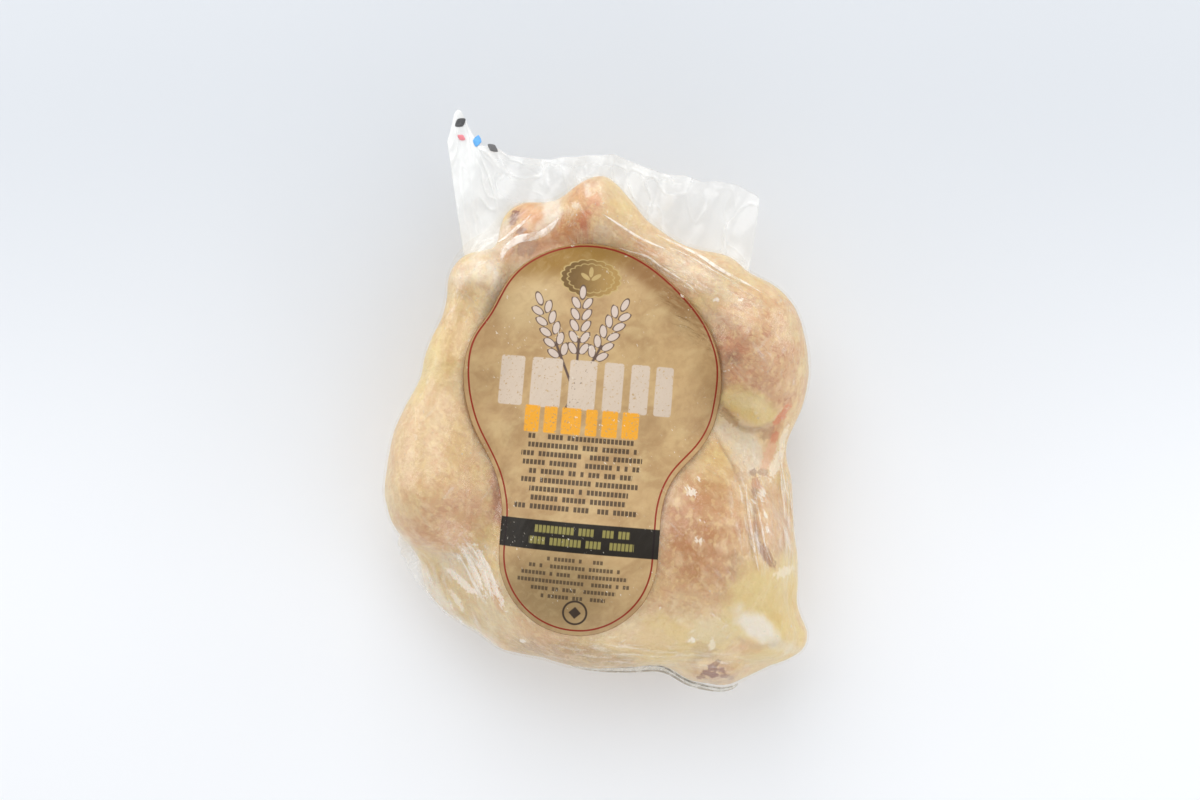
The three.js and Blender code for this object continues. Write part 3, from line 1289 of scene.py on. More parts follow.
@dataclass(frozen=True)
class Studio:
    """A pale floor, greyer past the header by its own tone and by painted shade, soft lights and a camera
    that looks straight down on the pack.
    """

    millimetres_per_pixel: float = 0.45
    image_width: int = 1200
    sensor: float = 36.0
    height: float = 1.15
    look_level: float = 0.045
    look_at: Vec2 = (0.0016, 0.0002)
    floor_half: float = 4.0
    floor_far_grey_and_shade: Colour = shown(215, 219, 224)
    floor_near: Colour = shown(246, 248, 251)
    side_lamps: tuple[Vec3, ...] = ((1, 0.3, 2.7), (-1, 0.3, 2.7), (0.2, -1, 2.2), (-0.2, 1, 3.2))
    side_reach: float = 0.95
    side_height: float = 0.3
    side_width: float = 0.7
    world_colour: Colour = (0.96, 0.975, 1.0)
    world_strength: float = 0.56

    def build(self) -> None:
        """Makes the floor, the world's light, the lamps and the camera.

        Each side lamp is given by the way that it lies and its power.
        """
        self.make_floor()
        self.make_world()
        self.make_lamp("key", (-0.25, 0.95, 1.25), 1.3, 8.0)
        self.make_lamp("fill", (0.9, -0.2, 1.2), 1.2, 3.0)
        for number, (x, y, power) in enumerate(self.side_lamps):
            place = (self.side_reach * x, self.side_reach * y, self.side_height)
            self.make_lamp(f"side_{number}", place, self.side_width, power)
        self.make_camera()

    def make_floor(self) -> None:
        """A wide level square, a little greyer past the header than below the neck: partly a greyer tone and
        partly painted shade.
        """
        mesh = bpy.data.meshes.new("floor")
        half = self.floor_half
        corners = [(-half, -half, 0), (half, -half, 0), (half, half, 0), (-half, half, 0)]
        mesh.from_pydata(corners, [], [(0, 1, 2, 3)])
        g = Graph("paper_floor")
        y = g.node("SeparateXYZ", {0: g.place}, 1)
        # Painted shade, with a greyer tone: the floor's colour darkens towards the header.
        tone = g.mix(y.step(-0.12, 0.16), self.floor_near, self.floor_far_grey_and_shade)
        mesh.materials.append(g.finish(g.principled(tone, 0.8)))
        floor = placed("floor", mesh)

    def make_world(self) -> None:
        """An even pale sky."""
        world = bpy.data.worlds.new("studio")
        world.use_nodes = True
        background = world.node_tree.nodes["Background"]
        background.inputs["Color"].default_value = (*self.world_colour, 1.0)
        background.inputs["Strength"].default_value = self.world_strength
        bpy.context.scene.world = world
        bpy.context.scene.view_settings.view_transform = "Standard"

    def make_lamp(self, name: str, place: Vec3, width: float, power: float) -> None:
        """A square soft box that points at the pack.

        Args:
            name: its name.
            place: where it stands, in metres.
            width: its width, in metres.
            power: its power, in watts.
        """
        light = bpy.data.lights.new(name, "AREA")
        light.size = width
        light.energy = power
        lamp = placed(name, light, place)
        towards = Vector((0.0, 0.0, 0.04)) - lamp.location
        lamp.rotation_euler = towards.to_track_quat("-Z", "Y").to_euler()

    def make_camera(self) -> None:
        """A long lens straight above, at the scale set at the level looked at."""
        camera = bpy.data.cameras.new("camera")
        field_width = self.millimetres_per_pixel * MM * self.image_width
        camera.sensor_width = self.sensor
        camera.lens = self.sensor * self.height / field_width
        place = (*self.look_at, self.look_level + self.height)
        bpy.context.scene.camera = placed("camera", camera, place)


# ---- The pieces -------------------------------------------------------------------------------------


@dataclass(frozen=True)
class Patch(Oval):
    """A patch of colour with a ragged edge.

    Attributes:
        colour: its colour.
        strength: how much of the colour it lays in its middle.
        ragged: how far noise moves its edge, as a share of its size.
        mottle: how much more mottled it is than the skin round it.
        soft: how wide its edge is, as a share of its size.
        smooth: how far the skin's grain is lost in it.
        swell: how many millimetres it stands out.
    """

    colour: Colour
    strength: float
    ragged: float = 0.35
    mottle: float = 0.0
    soft: float = 0.4
    smooth: float = 0.0
    swell: float = 0.0

    def share(self, plan: Array, ragged: Array) -> Array:
        """How much of the patch covers each place: 1 inside, easing to 0 over its noisy edge."""
        radius = self.radius(plan) + self.ragged * ragged
        return self.strength * ease(radius, 1.0 + self.soft, 1.0 - self.soft)


@dataclass(frozen=True)
class Mark(Oval):
    """A small crisp mark, whose frayed edge is drawn by the finish."""

    colour: Colour
    strength: float
    swell: float = 0.0


@dataclass(frozen=True)
class Crevice:
    """A line where the skin sinks between two forms, tinted along it: the umber and dusk tints are painted
    shade in the crease.
    """

    path: tuple[Vec2, ...]
    width: float
    depth: float
    colour: Colour
    strength: float

    def share(self, plan: Array) -> Array:
        """How much of the crevice is at each place.

        Args:
            plan: places as seen from above.

        Returns:
            1 on the line, and down to its ends and sides by the square of the distance in widths.
        """
        line = smooth_curve(self.path, 50)
        total = np.zeros(plan.shape[:-1])
        for place, strong in zip(line, tapered(len(line), 0.05)):
            away = np.square(plan - place).sum(axis=-1) / self.width**2
            total = np.maximum(total, strong * np.exp(-away))
        return total


CREAM = shown(238, 211, 164)
PEACH = shown(230, 190, 142)
FAT = shown(232, 200, 122)
YELLOW = shown(240, 216, 150)
MEAT = shown(194, 138, 100)
FLUSH = shown(182, 112, 26)
GRISTLE = shown(244, 232, 210)
WEB = shown(234, 216, 192)
TENDON = shown(228, 210, 172)
BLOOD = shown(122, 54, 24)
EMBER = shown(222, 146, 74)
CORAL = shown(212, 126, 76)
ROSE = shown(222, 172, 134)
RED = shown(206, 106, 62)
# A brown for painted shade in creases and along outlines, and for a few dark spots.
DUSK_SHADE_AND_SPOT = shown(152, 96, 56)
PLUM = shown(126, 66, 36)
MAUVE = shown(196, 162, 142)
# Painted rim light: a pale cream laid on the sides where the skin turns down.
PAINTED_RIM_LIGHT = shown(248, 224, 180)
# A brown for painted shade in creases, under the fat pad and along the bottom edge, and for a few dark
# spots.
UMBER_SHADE_AND_SPOT = shown(174, 136, 86)
# White flecks on the film over the skin: partly frost and partly painted glints, small highlights.
FROST_AND_GLINTS = shown(246, 238, 224)
PEARL = shown(255, 244, 232)

# Soft patches, laid in this order. A row has the middle, the half sizes, and a patch's other values.
PATCH_ROWS: tuple[tuple[float | Colour, ...], ...] = (
    (-72.2, -25, 22.1, 34.2, 10, PEACH, 0.5, 0.4, 0.2), (-70, -53.8, 19.8, 12.2, 20, ROSE, 0.6, 0.35, 0.3),
    (-70.4, -62.8, 12.6, 6.8, 0, EMBER, 0.25, 0.5, 0.2), (-60.1, -89.8, 22.5, 15.3, -30, TENDON, 0.5, 0.4),
    (-77.6, -81.7, 22.5, 4, -52, PEARL, 0.85, 0.3, 0.0, 0.4, 0.6),
    (-85.7, -68.2, 10.8, 3.6, -56, PEARL, 0.8, 0.3, 0.0, 0.4, 0.6),
    (-55.1, -105.1, 19.8, 2.7, -33, PEARL, 0.7, 0.3, 0.0, 0.4, 0.6),
    (-59.6, -77.2, 9.9, 4.5, -30, PEARL, 0.45, 0.5), (-46.1, -86.2, 2.2, 9, 18, EMBER, 0.5, 0.3),
    (-76.7, 14.6, 4, 15.3, -24, YELLOW, 0.7, 0.3, 0.0, 0.4, 0.6),
    (-63.7, 31.7, 8.1, 20.2, -16, FAT, 0.6, 0.3), (-62.3, 36.2, 5.4, 15.3, -16, MEAT, 0.3, 0.5),
    (-55.1, 57.4, 12.6, 5.9, 5, PEARL, 0.55, 0.3, 0.1, 0.3, 0.4, 0.5),
    (-60.5, 59.6, 4, 2.7, 0, ROSE, 0.35, 0.6, 0.2), (-58.3, 48.4, 4.5, 3.1, 30, UMBER_SHADE_AND_SPOT, 0.35, 0.5),
    (-44.8, 49.7, 2.7, 10.8, -10, PEARL, 0.6, 0.3), (-45.2, 62.3, 3.6, 5.4, -20, PEARL, 0.7, 0.3),
    (68.2, 21.8, 27.9, 24.3, -20, ROSE, 0.7, 0.4, 0.5), (64.6, 12.8, 15.3, 13.5, -20, MEAT, 0.4, 0.8, 0.5),
    (56.5, 36.2, 9, 3.6, -12, MAUVE, 0.7, 0.4, 0.1), (58.7, 30.8, 6.3, 3.1, -10, DUSK_SHADE_AND_SPOT, 0.35, 0.6, 0.4),
    (62.8, 25.4, 6.8, 3.1, 10, MEAT, 0.7, 0.5, 0.4), (60.1, 20.5, 5, 3.1, -8, PLUM, 0.75, 0.4, 0.2),
    (73.6, 29.5, 7.2, 3.6, 20, MEAT, 0.4, 0.8, 0.4), (74, 36.2, 9, 12.2, 10, PEACH, 0.4, 0.3, 0.2),
    (85.3, 11.9, 6.3, 13.5, 6, ROSE, 0.45, 0.4, 0.2), (29.9, 62.3, 37.8, 12.2, -34, PEACH, 0.75, 0.5, 0.15),
    (39.4, 61.4, 33.3, 6.3, -31, WEB, 0.5, 0.4), (21.8, 68.6, 11.7, 4, -30, EMBER, 0.45, 0.5),
    (69.1, -2.9, 14, 5.9, -30, YELLOW, 0.9, 0.45, 0.0, 0.35, 0.9, 1.0),
    (74.5, -7, 5.9, 2.7, -20, FAT, 0.6, 0.4, 0.0, 0.4, 0.8),
    (65.5, 0.2, 5.9, 2.7, -30, GRISTLE, 0.25, 0.4, 0.0, 0.4, 0.8),
    (62.3, -15.5, 9.9, 7.2, -20, WEB, 0.95, 0.2, 0.0, 0.2, 0.4, 0.4),
    (66.8, -26.8, 7.7, 9.9, -20, WEB, 0.95, 0.2, 0.0, 0.2, 0.3, 0.5),
    (66.8, -20, 6.8, 5.9, -20, GRISTLE, 0.35, 0.4), (80.3, -56, 7.7, 21.6, 5, ROSE, 0.6, 0.15, 0.2, 0.2),
    (82.6, -70, 6.3, 6.3, 0, MAUVE, 0.45, 0.4), (70, -53.8, 2.7, 18.9, 4, TENDON, 0.7, 0.3, 0.0, 0.3),
    (44.8, -61.9, 31.1, 40.1, 8, PEACH, 0.7, 0.3, 0.05),
    (53.8, -30.4, 7.7, 10.8, 0, YELLOW, 0.45, 0.4, 0.0, 0.4, 0.5),
    (32.2, -44.8, 6.3, 13.5, 0, ROSE, 0.5, 0.5, 0.1),
    (46.6, -61.4, 20.7, 28.8, 8, FLUSH, 0.72, 0.5, 0.05, 0.6),
    (43.9, -60.1, 6.8, 11.7, 0, FLUSH, 0.45, 0.6, 0.05), (48.4, -66.4, 5.9, 5.4, 0, FLUSH, 0.5, 0.6, 0.1),
    (63.2, -74.5, 4.5, 6.3, 0, UMBER_SHADE_AND_SPOT, 0.5, 0.5, 0.2), (37.6, -89.8, 13.5, 6.3, 0, ROSE, 0.5, 0.5, 0.2),
    (34, -100.1, 30.2, 12.2, 6, CREAM, 0.6, 0.3),
    (39.8, -109.1, 40.1, 9, 6, YELLOW, 0.7, 0.4, 0.0, 0.4, 0.6),
    (30.4, -107.8, 12.2, 9, 6, FAT, 0.7, 0.4, 0.0, 0.4, 0.8, 0.6),
    (43.9, -107.8, 17.1, 6.8, 6, FAT, 0.75, 0.4, 0.0, 0.4, 0.7),
    (52, -104.2, 9.9, 5.9, 0, TENDON, 0.5, 0.4, 0.0, 0.4, 0.7, 0.4),
    (78.1, -89.8, 16.2, 21.2, -14, YELLOW, 0.85, 0.3, 0.0, 0.35, 0.7),
    (84.4, -95.2, 6.8, 13.5, -6, FAT, 0.75, 0.4),
    (79.9, -110, 14.4, 11.7, -10, YELLOW, 0.7, 0.3, 0.0, 0.4, 0.7),
    (65.5, -111.4, 7.2, 3.6, 10, EMBER, 0.35, 0.5),
    (73.1, -101.9, 10.3, 5, -36, PEARL, 1.0, 0.35, 0.0, 0.4, 1.0, 0.4),
    (83.5, -110, 7.2, 3.1, -20, GRISTLE, 0.6, 0.4, 0.0, 0.4, 0.8),
    (52.9, -122.2, 8.6, 3.6, 4, MEAT, 0.55, 0.6), (52, -126.7, 9.9, 2.7, 0, MAUVE, 0.6, 0.4),
    # The first patch here is painted shade: umber darkening along the bottom edge at the neck end.
    (-8.3, -115.9, 29.7, 5.9, -8, UMBER_SHADE_AND_SPOT, 0.65, 0.3), (20, -108.2, 14, 5.9, 0, PEACH, 0.4, 0.5, 0.1),
    # The valley between the left drumstick and the label: meat colour, deepened by the dusk patch as painted
    # shade.
    (-43, -43.9, 5, 21.6, 6, MEAT, 1.0, 0.25, 0.3), (-42.8, -46.1, 2.4, 16.2, 6, DUSK_SHADE_AND_SPOT, 0.6, 0.4),
    (-25.4, 74.9, 19.8, 9.9, 20, EMBER, 0.8, 0.3, 0.15), (-27.7, 84.2, 9.5, 4, -20, EMBER, 0.75, 0.4),
    (-16.4, 75.8, 8.1, 7.2, 0, EMBER, 0.6, 0.3), (-9.2, 75.8, 10.8, 5.9, 0, EMBER, 0.9, 0.4, 0.1),
    (-5.2, 77.2, 4, 7.7, 14, RED, 0.85, 0.5, 0.1), (1.1, 75.8, 5.4, 5.4, 0, WEB, 0.55, 0.4),
    (-47, 73.1, 10.8, 6.3, 40, WEB, 0.8, 0.4, 0.0, 0.4, 0.6), (-5.2, 92, 9.9, 9, 0, PEACH, 0.7, 0.3, 0.35),
    (-6.5, 89.8, 9, 8.1, 20, EMBER, 0.45, 0.5, 0.2),
    (-20, 85.3, 4.5, 6.3, -10, PEARL, 0.85, 0.3, 0.0, 0.35, 0.5),
    (-23.2, 78.5, 6.8, 4, 25, PEARL, 0.6, 0.4, 0.0, 0.4, 0.4),
    (10.6, 88, 7.7, 9.9, 35, YELLOW, 0.35, 0.4, 0.0, 0.4, 0.6), (2, 94.7, 8.1, 4, -30, WEB, 0.4, 0.6, 0.2),
)
# Crisp marks and flecks by colour. A row has the middle, half sizes, turn and strength, and any swell.
MARK_ROWS: dict[Colour, tuple[tuple[float, ...], ...]] = {
    PEARL: (
        (-55.6, -76.7, 11.7, 1.2, -66, 0.75), (-52, -76.7, 12.6, 1.1, -68, 0.7),
        (-47.9, -79.9, 14.4, 1.3, -66, 0.75), (-60.5, -82.1, 9, 1.4, -42, 0.7),
        (-63.2, -89.8, 6.3, 1.1, -60, 0.5), (-57.8, -68.2, 4, 1.4, -50, 0.5),
    ),
    UMBER_SHADE_AND_SPOT: (
        # The first mark is painted shadow at the fat pad's lower left edge.
        (59.6, -7.9, 5, 1.8, -38, 0.6), (47.9, -112.3, 5.4, 2.7, 0, 0.35),
    ),
    CORAL: (
        (83.5, -7.4, 5.9, 1.6, 50, 0.85), (-2, 90.2, 3.1, 1.8, 20, 0.45), (-5.2, 84.4, 2.7, 1.8, 0, 0.45),
        (-0.2, 90.7, 2, 2.7, 20, 0.45),
    ),
    PLUM: (
        (77.2, -15.1, 3.6, 2.2, 40, 0.3), (70.4, -32.6, 1.8, 1.5, 0, 0.5), (74.9, -32.2, 3.1, 1.5, 0, 0.45),
        (71.8, -40.3, 1.4, 2.2, 0, 0.55), (-37.1, 82.6, 3.6, 2, 62, 0.8), (-34, 76.3, 2.2, 1.6, 30, 0.65),
        (-30.8, 67.7, 2.2, 2.7, 20, 0.4),
    ),
    RED: (
        (80.8, -16.9, 2.7, 1.4, 60, 0.6), (-42.1, -44.8, 1.4, 9.9, 6, 0.5),
    ),
    ROSE: (
        (77.6, -25, 7.7, 2.2, 72, 0.8),
    ),
    GRISTLE: (
        (81.7, -27.7, 7.7, 2.4, 66, 0.6, 0.3), (84.8, -16.9, 5.4, 1.4, 68, 0.5),
        (84.4, -77.2, 4.5, 1.8, 25, 0.5), (52, -110.5, 1.5, 2.7, 0, 0.6, 0.3),
    ),
    MEAT: (
        (72.2, -37.6, 2.1, 3.1, 0, 0.8), (-34, 83.9, 1.4, 3.6, -35, 0.5), (-5.2, 86.2, 1.2, 1.4, 0, 0.7),
    ),
    DUSK_SHADE_AND_SPOT: (
        (76.7, -69.5, 2, 5.9, 30, 0.6), (-31.3, 69.1, 5, 3.1, 35, 0.45),
    ),
    BLOOD: (
        (49.3, -123.1, 2.2, 1.4, 10, 0.8), (52.4, -120.4, 1.8, 1.8, 0, 0.8),
        (54.7, -118.1, 1.4, 1.1, 0, 0.5), (56.5, -121.7, 1.8, 1.4, 0, 0.7), (52.4, -124, 2.7, 1.2, 5, 0.85),
        (58.3, -124.4, 2.2, 1.1, 10, 0.6), (46.6, -124.9, 1.8, 0.9, 0, 0.6),
        (60.5, -125.3, 1.4, 0.9, 20, 0.4),
    ),
    # Partly frost and partly painted glints: small white highlights on the breast, the wing and the legs.
    FROST_AND_GLINTS: (
        (-9.2, 88, 2.2, 1.5, 10, 0.4), (-4.3, 94.7, 1.4, 3.6, 10, 0.35), (46.1, -34.9, 0.8, 0.8, 0, 0.7),
        (43, -41.6, 2, 1.6, 20, 0.7), (40.7, -38.9, 1.6, 0.6, 10, 0.7), (47.5, -53.8, 1.6, 0.5, 0, 0.7),
        (46.1, -62.8, 2.2, 1.2, 10, 0.7), (74.9, -41.6, 1.4, 2.2, -20, 0.7),
        (72.2, -44.8, 2.7, 0.6, -8, 0.7), (76.3, -51.1, 0.6, 1.8, 20, 0.7), (76.7, -58.3, 1.2, 1, 30, 0.7),
        (65.5, 45.7, 1.2, 0.9, 0, 0.7), (53.8, 45.2, 1.4, 0.9, -20, 0.7), (58.7, 14.2, 2.7, 0.6, 4, 0.7),
        (59.6, 16.9, 2.2, 0.5, 0, 0.7), (43, -107.8, 1.4, 1.4, 30, 0.7), (28.6, -94.3, 0.7, 0.7, 0, 0.7),
        (-33.5, -108.7, 1.4, 0.8, 0, 0.7),
    ),
}

PATCHES: tuple[Patch, ...] = tuple(Patch(row[:2], row[2:4], *row[4:]) for row in PATCH_ROWS)
MARKS: tuple[Mark, ...] = tuple(
    Mark(row[:2], row[2:4], row[4], colour, *row[5:]) for colour, rows in MARK_ROWS.items() for row in rows
)

CREVICES: tuple[Crevice, ...] = (
    # Painted shadow along the fat pad's lower edge.
    Crevice(((56.5, -1.6), (61, -8.8), (66.4, -13.3), (73.6, -13.3), (79, -10.6)), 1.3, 1.0, UMBER_SHADE_AND_SPOT, 0.8),
    Crevice(((57.8, 9.2), (66.8, 4.7), (75.8, -0.7), (83, -6.1)), 1.2, 0.5, DUSK_SHADE_AND_SPOT, 0.2),
    Crevice(((88.9, 0.2), (85.3, -6.1), (80.8, -13.3), (77.2, -20.5)), 1.5, 0.5, CORAL, 0.6),
    Crevice(
        ((52.9, -13.3), (56.5, -20.5), (60.5, -26.8), (63.7, -34.9), (67.3, -36.7)),
        0.8, 0.6, DUSK_SHADE_AND_SPOT, 0.45,
    ),
    # This and the next crevice are painted shadow along the wing's left outline.
    Crevice(((65.5, -36.7), (67.7, -47), (69.1, -58.3), (71.8, -76.3)), 0.8, 0.5, UMBER_SHADE_AND_SPOT, 0.55),
    Crevice(
        ((72.2, -39.4), (72.2, -47), (72.2, -54.7), (74, -65), (77.2, -71.8), (80.3, -75.4)),
        1.1, 1.2, DUSK_SHADE_AND_SPOT, 0.9,
    ),
    Crevice(((-31, 64.1), (-22, 70), (-10.1, 72.2)), 1.6, 0.6, EMBER, 0.5),
    Crevice(((-39.4, 80.3), (-38, 83.5), (-34.4, 86.6)), 1.6, 0.8, PLUM, 0.5),
    Crevice(((-39.8, 60.1), (-34, 70), (-21.8, 75.8)), 1.2, 0.5, WEB, 0.5),
    # Painted shade under the left hock.
    Crevice(((-65.9, 52.4), (-58.7, 52.9), (-50.6, 50.6), (-43.4, 46.1)), 1.3, 0.5, UMBER_SHADE_AND_SPOT, 0.35),
    Crevice(((-83.9, -60.1), (-72.2, -69.1), (-57.8, -71.8), (-47.9, -65.9)), 1.8, 0.7, WEB, 0.5),
    Crevice(((65.9, -96.1), (74, -93.8), (83.9, -101)), 1.3, 0.5, FAT, 0.4),
    Crevice(((61.9, -106), (71.8, -111.4), (83.9, -109.1)), 1.3, 0.6, DUSK_SHADE_AND_SPOT, 0.3),
    # Painted shade along the right shank's lower edge, beside the label.
    Crevice(((16, 65.9), (29.9, 57.8), (46.1, 46.1), (56, 38)), 1.4, 0.7, DUSK_SHADE_AND_SPOT, 0.25),
    Crevice(((42.1, -117.7), (48.8, -115.9), (56.5, -116.8)), 1.6, 0.6, UMBER_SHADE_AND_SPOT, 0.5),
    # Meat colour along the same valley, partly painted shade.
    Crevice(((-44.8, -31.3), (-41.2, -44.8), (-41.6, -58.3)), 1.6, 0.6, MEAT, 0.5),
)

PLEATS: tuple[Pleats, ...] = (
    Pleats((-54, -76), (17, 12), -60, "pleat_shoulder", -62, 2.4, 0.6),
    Pleats((-68, -88), (26, 14), -42, "pleat_flank", -74, 3.6, 0.35),
    Pleats((70, -52), (11, 34), 3, "pleat_wing", -84, 1.8, 0.26),
    Pleats((86, -48), (6, 34), 3, "pleat_edge", -86, 1.8, 0.35),
    Pleats((-43, 72), (22, 9), 38, "pleat_hock", 38, 2.4, 0.18),
    Pleats((42, 58), (46, 11), -30, "pleat_shank", -30, 1.5, 0.1),
    Pleats((20, -115), (60, 8), -6, "pleat_neck", -8, 1.6, 0.15),
)


class SkinPaint:
    """What the skin has at each point: colour, mottle, grain, swelling, and its nearest crisp mark."""

    FAR = 50.0  # a scaled distance past every mark
    MARK_EDGE = (1.9, 0.2)  # the scaled distances where a mark starts and is full
    SWELL_EDGE = (1.2, 0.6)  # and where its swelling does

    def __init__(self, colour: Array, mottle: Array) -> None:
        """Starts with full grain, no swelling and no marks.

        Args:
            colour: the skin's first colour at each point.
            mottle: its first mottle.
        """
        level = np.zeros(mottle.shape)
        self.colour = colour
        self.mottle = mottle
        self.grain = level + 1.0
        self.swell = level
        self.mark = level
        self.mark_share = level
        self.mark_paint = colour
        self.nearest = level + self.FAR

    def tint(self, colour: Colour, share: Array) -> None:
        """Lays a colour over what is there."""
        self.colour = self.colour + (colour - self.colour) * share[..., None]

    def lay(self, patch: Patch, share: Array) -> None:
        """Lays a soft patch over what is there.

        Args:
            patch: the patch.
            share: how much of it covers each point.
        """
        self.tint(patch.colour, share)
        self.mottle = self.mottle + patch.mottle * share
        self.grain = self.grain * (1.0 - patch.smooth * share)
        self.swell = self.swell + patch.swell * share

    def note(self, mark: Mark, radius: Array, facing: Array) -> None:
        """Keeps a crisp mark where it is nearer than those before it.

        Args:
            mark: the mark.
            radius: the scaled distance of each point from it.
            facing: how far each point looks up.
        """
        nearer = radius < self.nearest
        self.nearest = np.where(nearer, radius, self.nearest)
        self.mark = np.where(nearer, ease(radius, *self.MARK_EDGE) * facing, self.mark)
        self.mark_share = np.where(nearer, mark.strength, self.mark_share)
        self.mark_paint = np.where(nearer[..., None], mark.colour, self.mark_paint)
        self.swell = self.swell + mark.swell * ease(radius, *self.SWELL_EDGE) * facing

    def keep(self, piece: Piece) -> None:
        """Keeps the paint at a piece's points, for the finish to read.

        Args:
            piece: the globe piece.
        """
        for name in ("mottle", "grain", "mark", "mark_share"):
            piece.numbers[name] = globe_values(getattr(self, name))
        piece.colours["paint"] = globe_values(self.colour)
        piece.colours["mark_paint"] = globe_values(self.mark_paint)


@dataclass
class Chicken:
    """The bird itself: its skin, with relief and painted patches."""

    bird: Bird
    core: Core
    spokes: int = 440
    rings: int = 222
    tone: Colour = (0.84, 0.835, 0.775)
    film_gap: float = 0.2

    def relief(self, points: Array) -> Array:
        """How far the skin lies inside its form.

        Args:
            points: places on the form.

        Returns:
            The sum of folds 18 mm long, lumps 6 mm and pimples 2.6 mm across.
        """
        folds = 0.25 * (1.0 + Noise(11, 18.0).at(points))
        lumps = 0.225 * (1.0 + Noise(12, 6.0).at(points))
        return folds + lumps + 0.2 * np.maximum(Noise(13, 2.6).at(points), 0.0)

    def paint(self, points: Array, normals: Array) -> SkinPaint:
        """Paints the skin: cream to peach and fat by noise, paler where it turns down as painted rim light,
        then the patches.

        Args:
            points: places on the skin.
            normals: its normals there.

        Returns:
            The paint.
        """
        paint = SkinPaint(np.broadcast_to(CREAM, points.shape), 0.14 + 0.14 * Noise(25, 24.0).at(points))
        paint.tint(PEACH, ease(layered(points, (21, 26.0, 1.0), (22, 7.0, 0.5)), -0.3, 0.9))
        paint.tint(FAT, 0.55 * ease(layered(points, (23, 20.0, 1.0), (24, 6.0, 0.5)), 0.1, 0.8))
        ragged = layered(points, (26, 7.0, 1.0), (27, 2.6, 0.6))
        facing = self.facing(normals)
        plan = seen_plan(points)
        for patch in PATCHES:
            paint.lay(patch, patch.share(plan, ragged) * facing)
        for mark in MARKS:
            paint.note(mark, mark.radius(plan), facing)
        # Crevice tints: the umber and dusk ones are painted shade in the creases.
        for crevice in CREVICES:
            paint.tint(crevice.colour, crevice.share(plan) * facing * crevice.strength)
        # Painted rim light: paler where the skin turns down at its sides, held back on sides that face down
        # the Y axis, towards the neck end.
        rim = ease(normals[..., 2], 0.55, 0.05) * ease(points[..., 2], 58.0, 46.0)
        paint.tint(PAINTED_RIM_LIGHT, 0.35 * rim * ease(normals[..., 1], -0.9, -0.3))
        paint.colour = paint.colour * np.asarray(self.tone)
        paint.mottle = np.clip(paint.mottle, 0.0, 1.0)
        return paint

    def facing(self, normals: Array) -> Array:
        """1 where the skin looks up, easing to 0 where it turns under."""
        return ease(normals[..., 2], -0.3, 0.2)

    def sink(self, points: Array, normals: Array) -> Array:
        """How deep the crevices cut at each point."""
        plan = seen_plan(points)
        return sum(crevice.depth * crevice.share(plan) for crevice in CREVICES) * self.facing(normals)

    def build(self) -> None:
        """Draws the skin in, shapes its relief, crevices and swellings inside the film, and paints it."""
        grid = self.core.wrap(self.bird.flesh, self.spokes, self.rings)
        normals = globe_normals(grid)
        paint = self.paint(grid, normals)
        inwards = self.relief(grid) * (0.35 + 0.65 * paint.grain) + self.sink(grid, normals) - paint.swell
        grid = grid - normals * inwards[..., None]
        grid = grid - normals * np.maximum(self.bird.bag(grid) + self.film_gap, 0.0)[..., None]
        piece = globe_piece("chicken", grid)
        paint.keep(piece)
        piece.build(RawSkin().build(), Slot.SKIN)


@dataclass
class Bag:
    """The tight film round the bird, with its folds."""

    bird: Bird
    core: Core
    spokes: int = 400
    rings: int = 210

    def build(self) -> None:
        """Draws the film in, and keeps at each point its gap to the skin and its share of each pleating."""
        grid = self.core.wrap(self.bird.bag, self.spokes, self.rings)
        piece = globe_piece("vacuum_film", grid)
        piece.numbers["gap"] = globe_values(ease(self.bird.flesh(grid), 2.5, 11.0))
        facing = ease(globe_normals(grid)[..., 2], -0.1, 0.3)
        plan = seen_plan(grid)
        for pleats in PLEATS:
            piece.numbers[pleats.name] = globe_values(pleats.share(plan) * facing)
        finish = ClearFilm("tight_film", 0.02, 0.22, 0.2, 0.55, PLEATS)
        piece.build(finish.build())


@dataclass(frozen=True)
class Wave:
    """A wave that a fin is crumpled into."""

    depth: float
    length: float
    phase: float


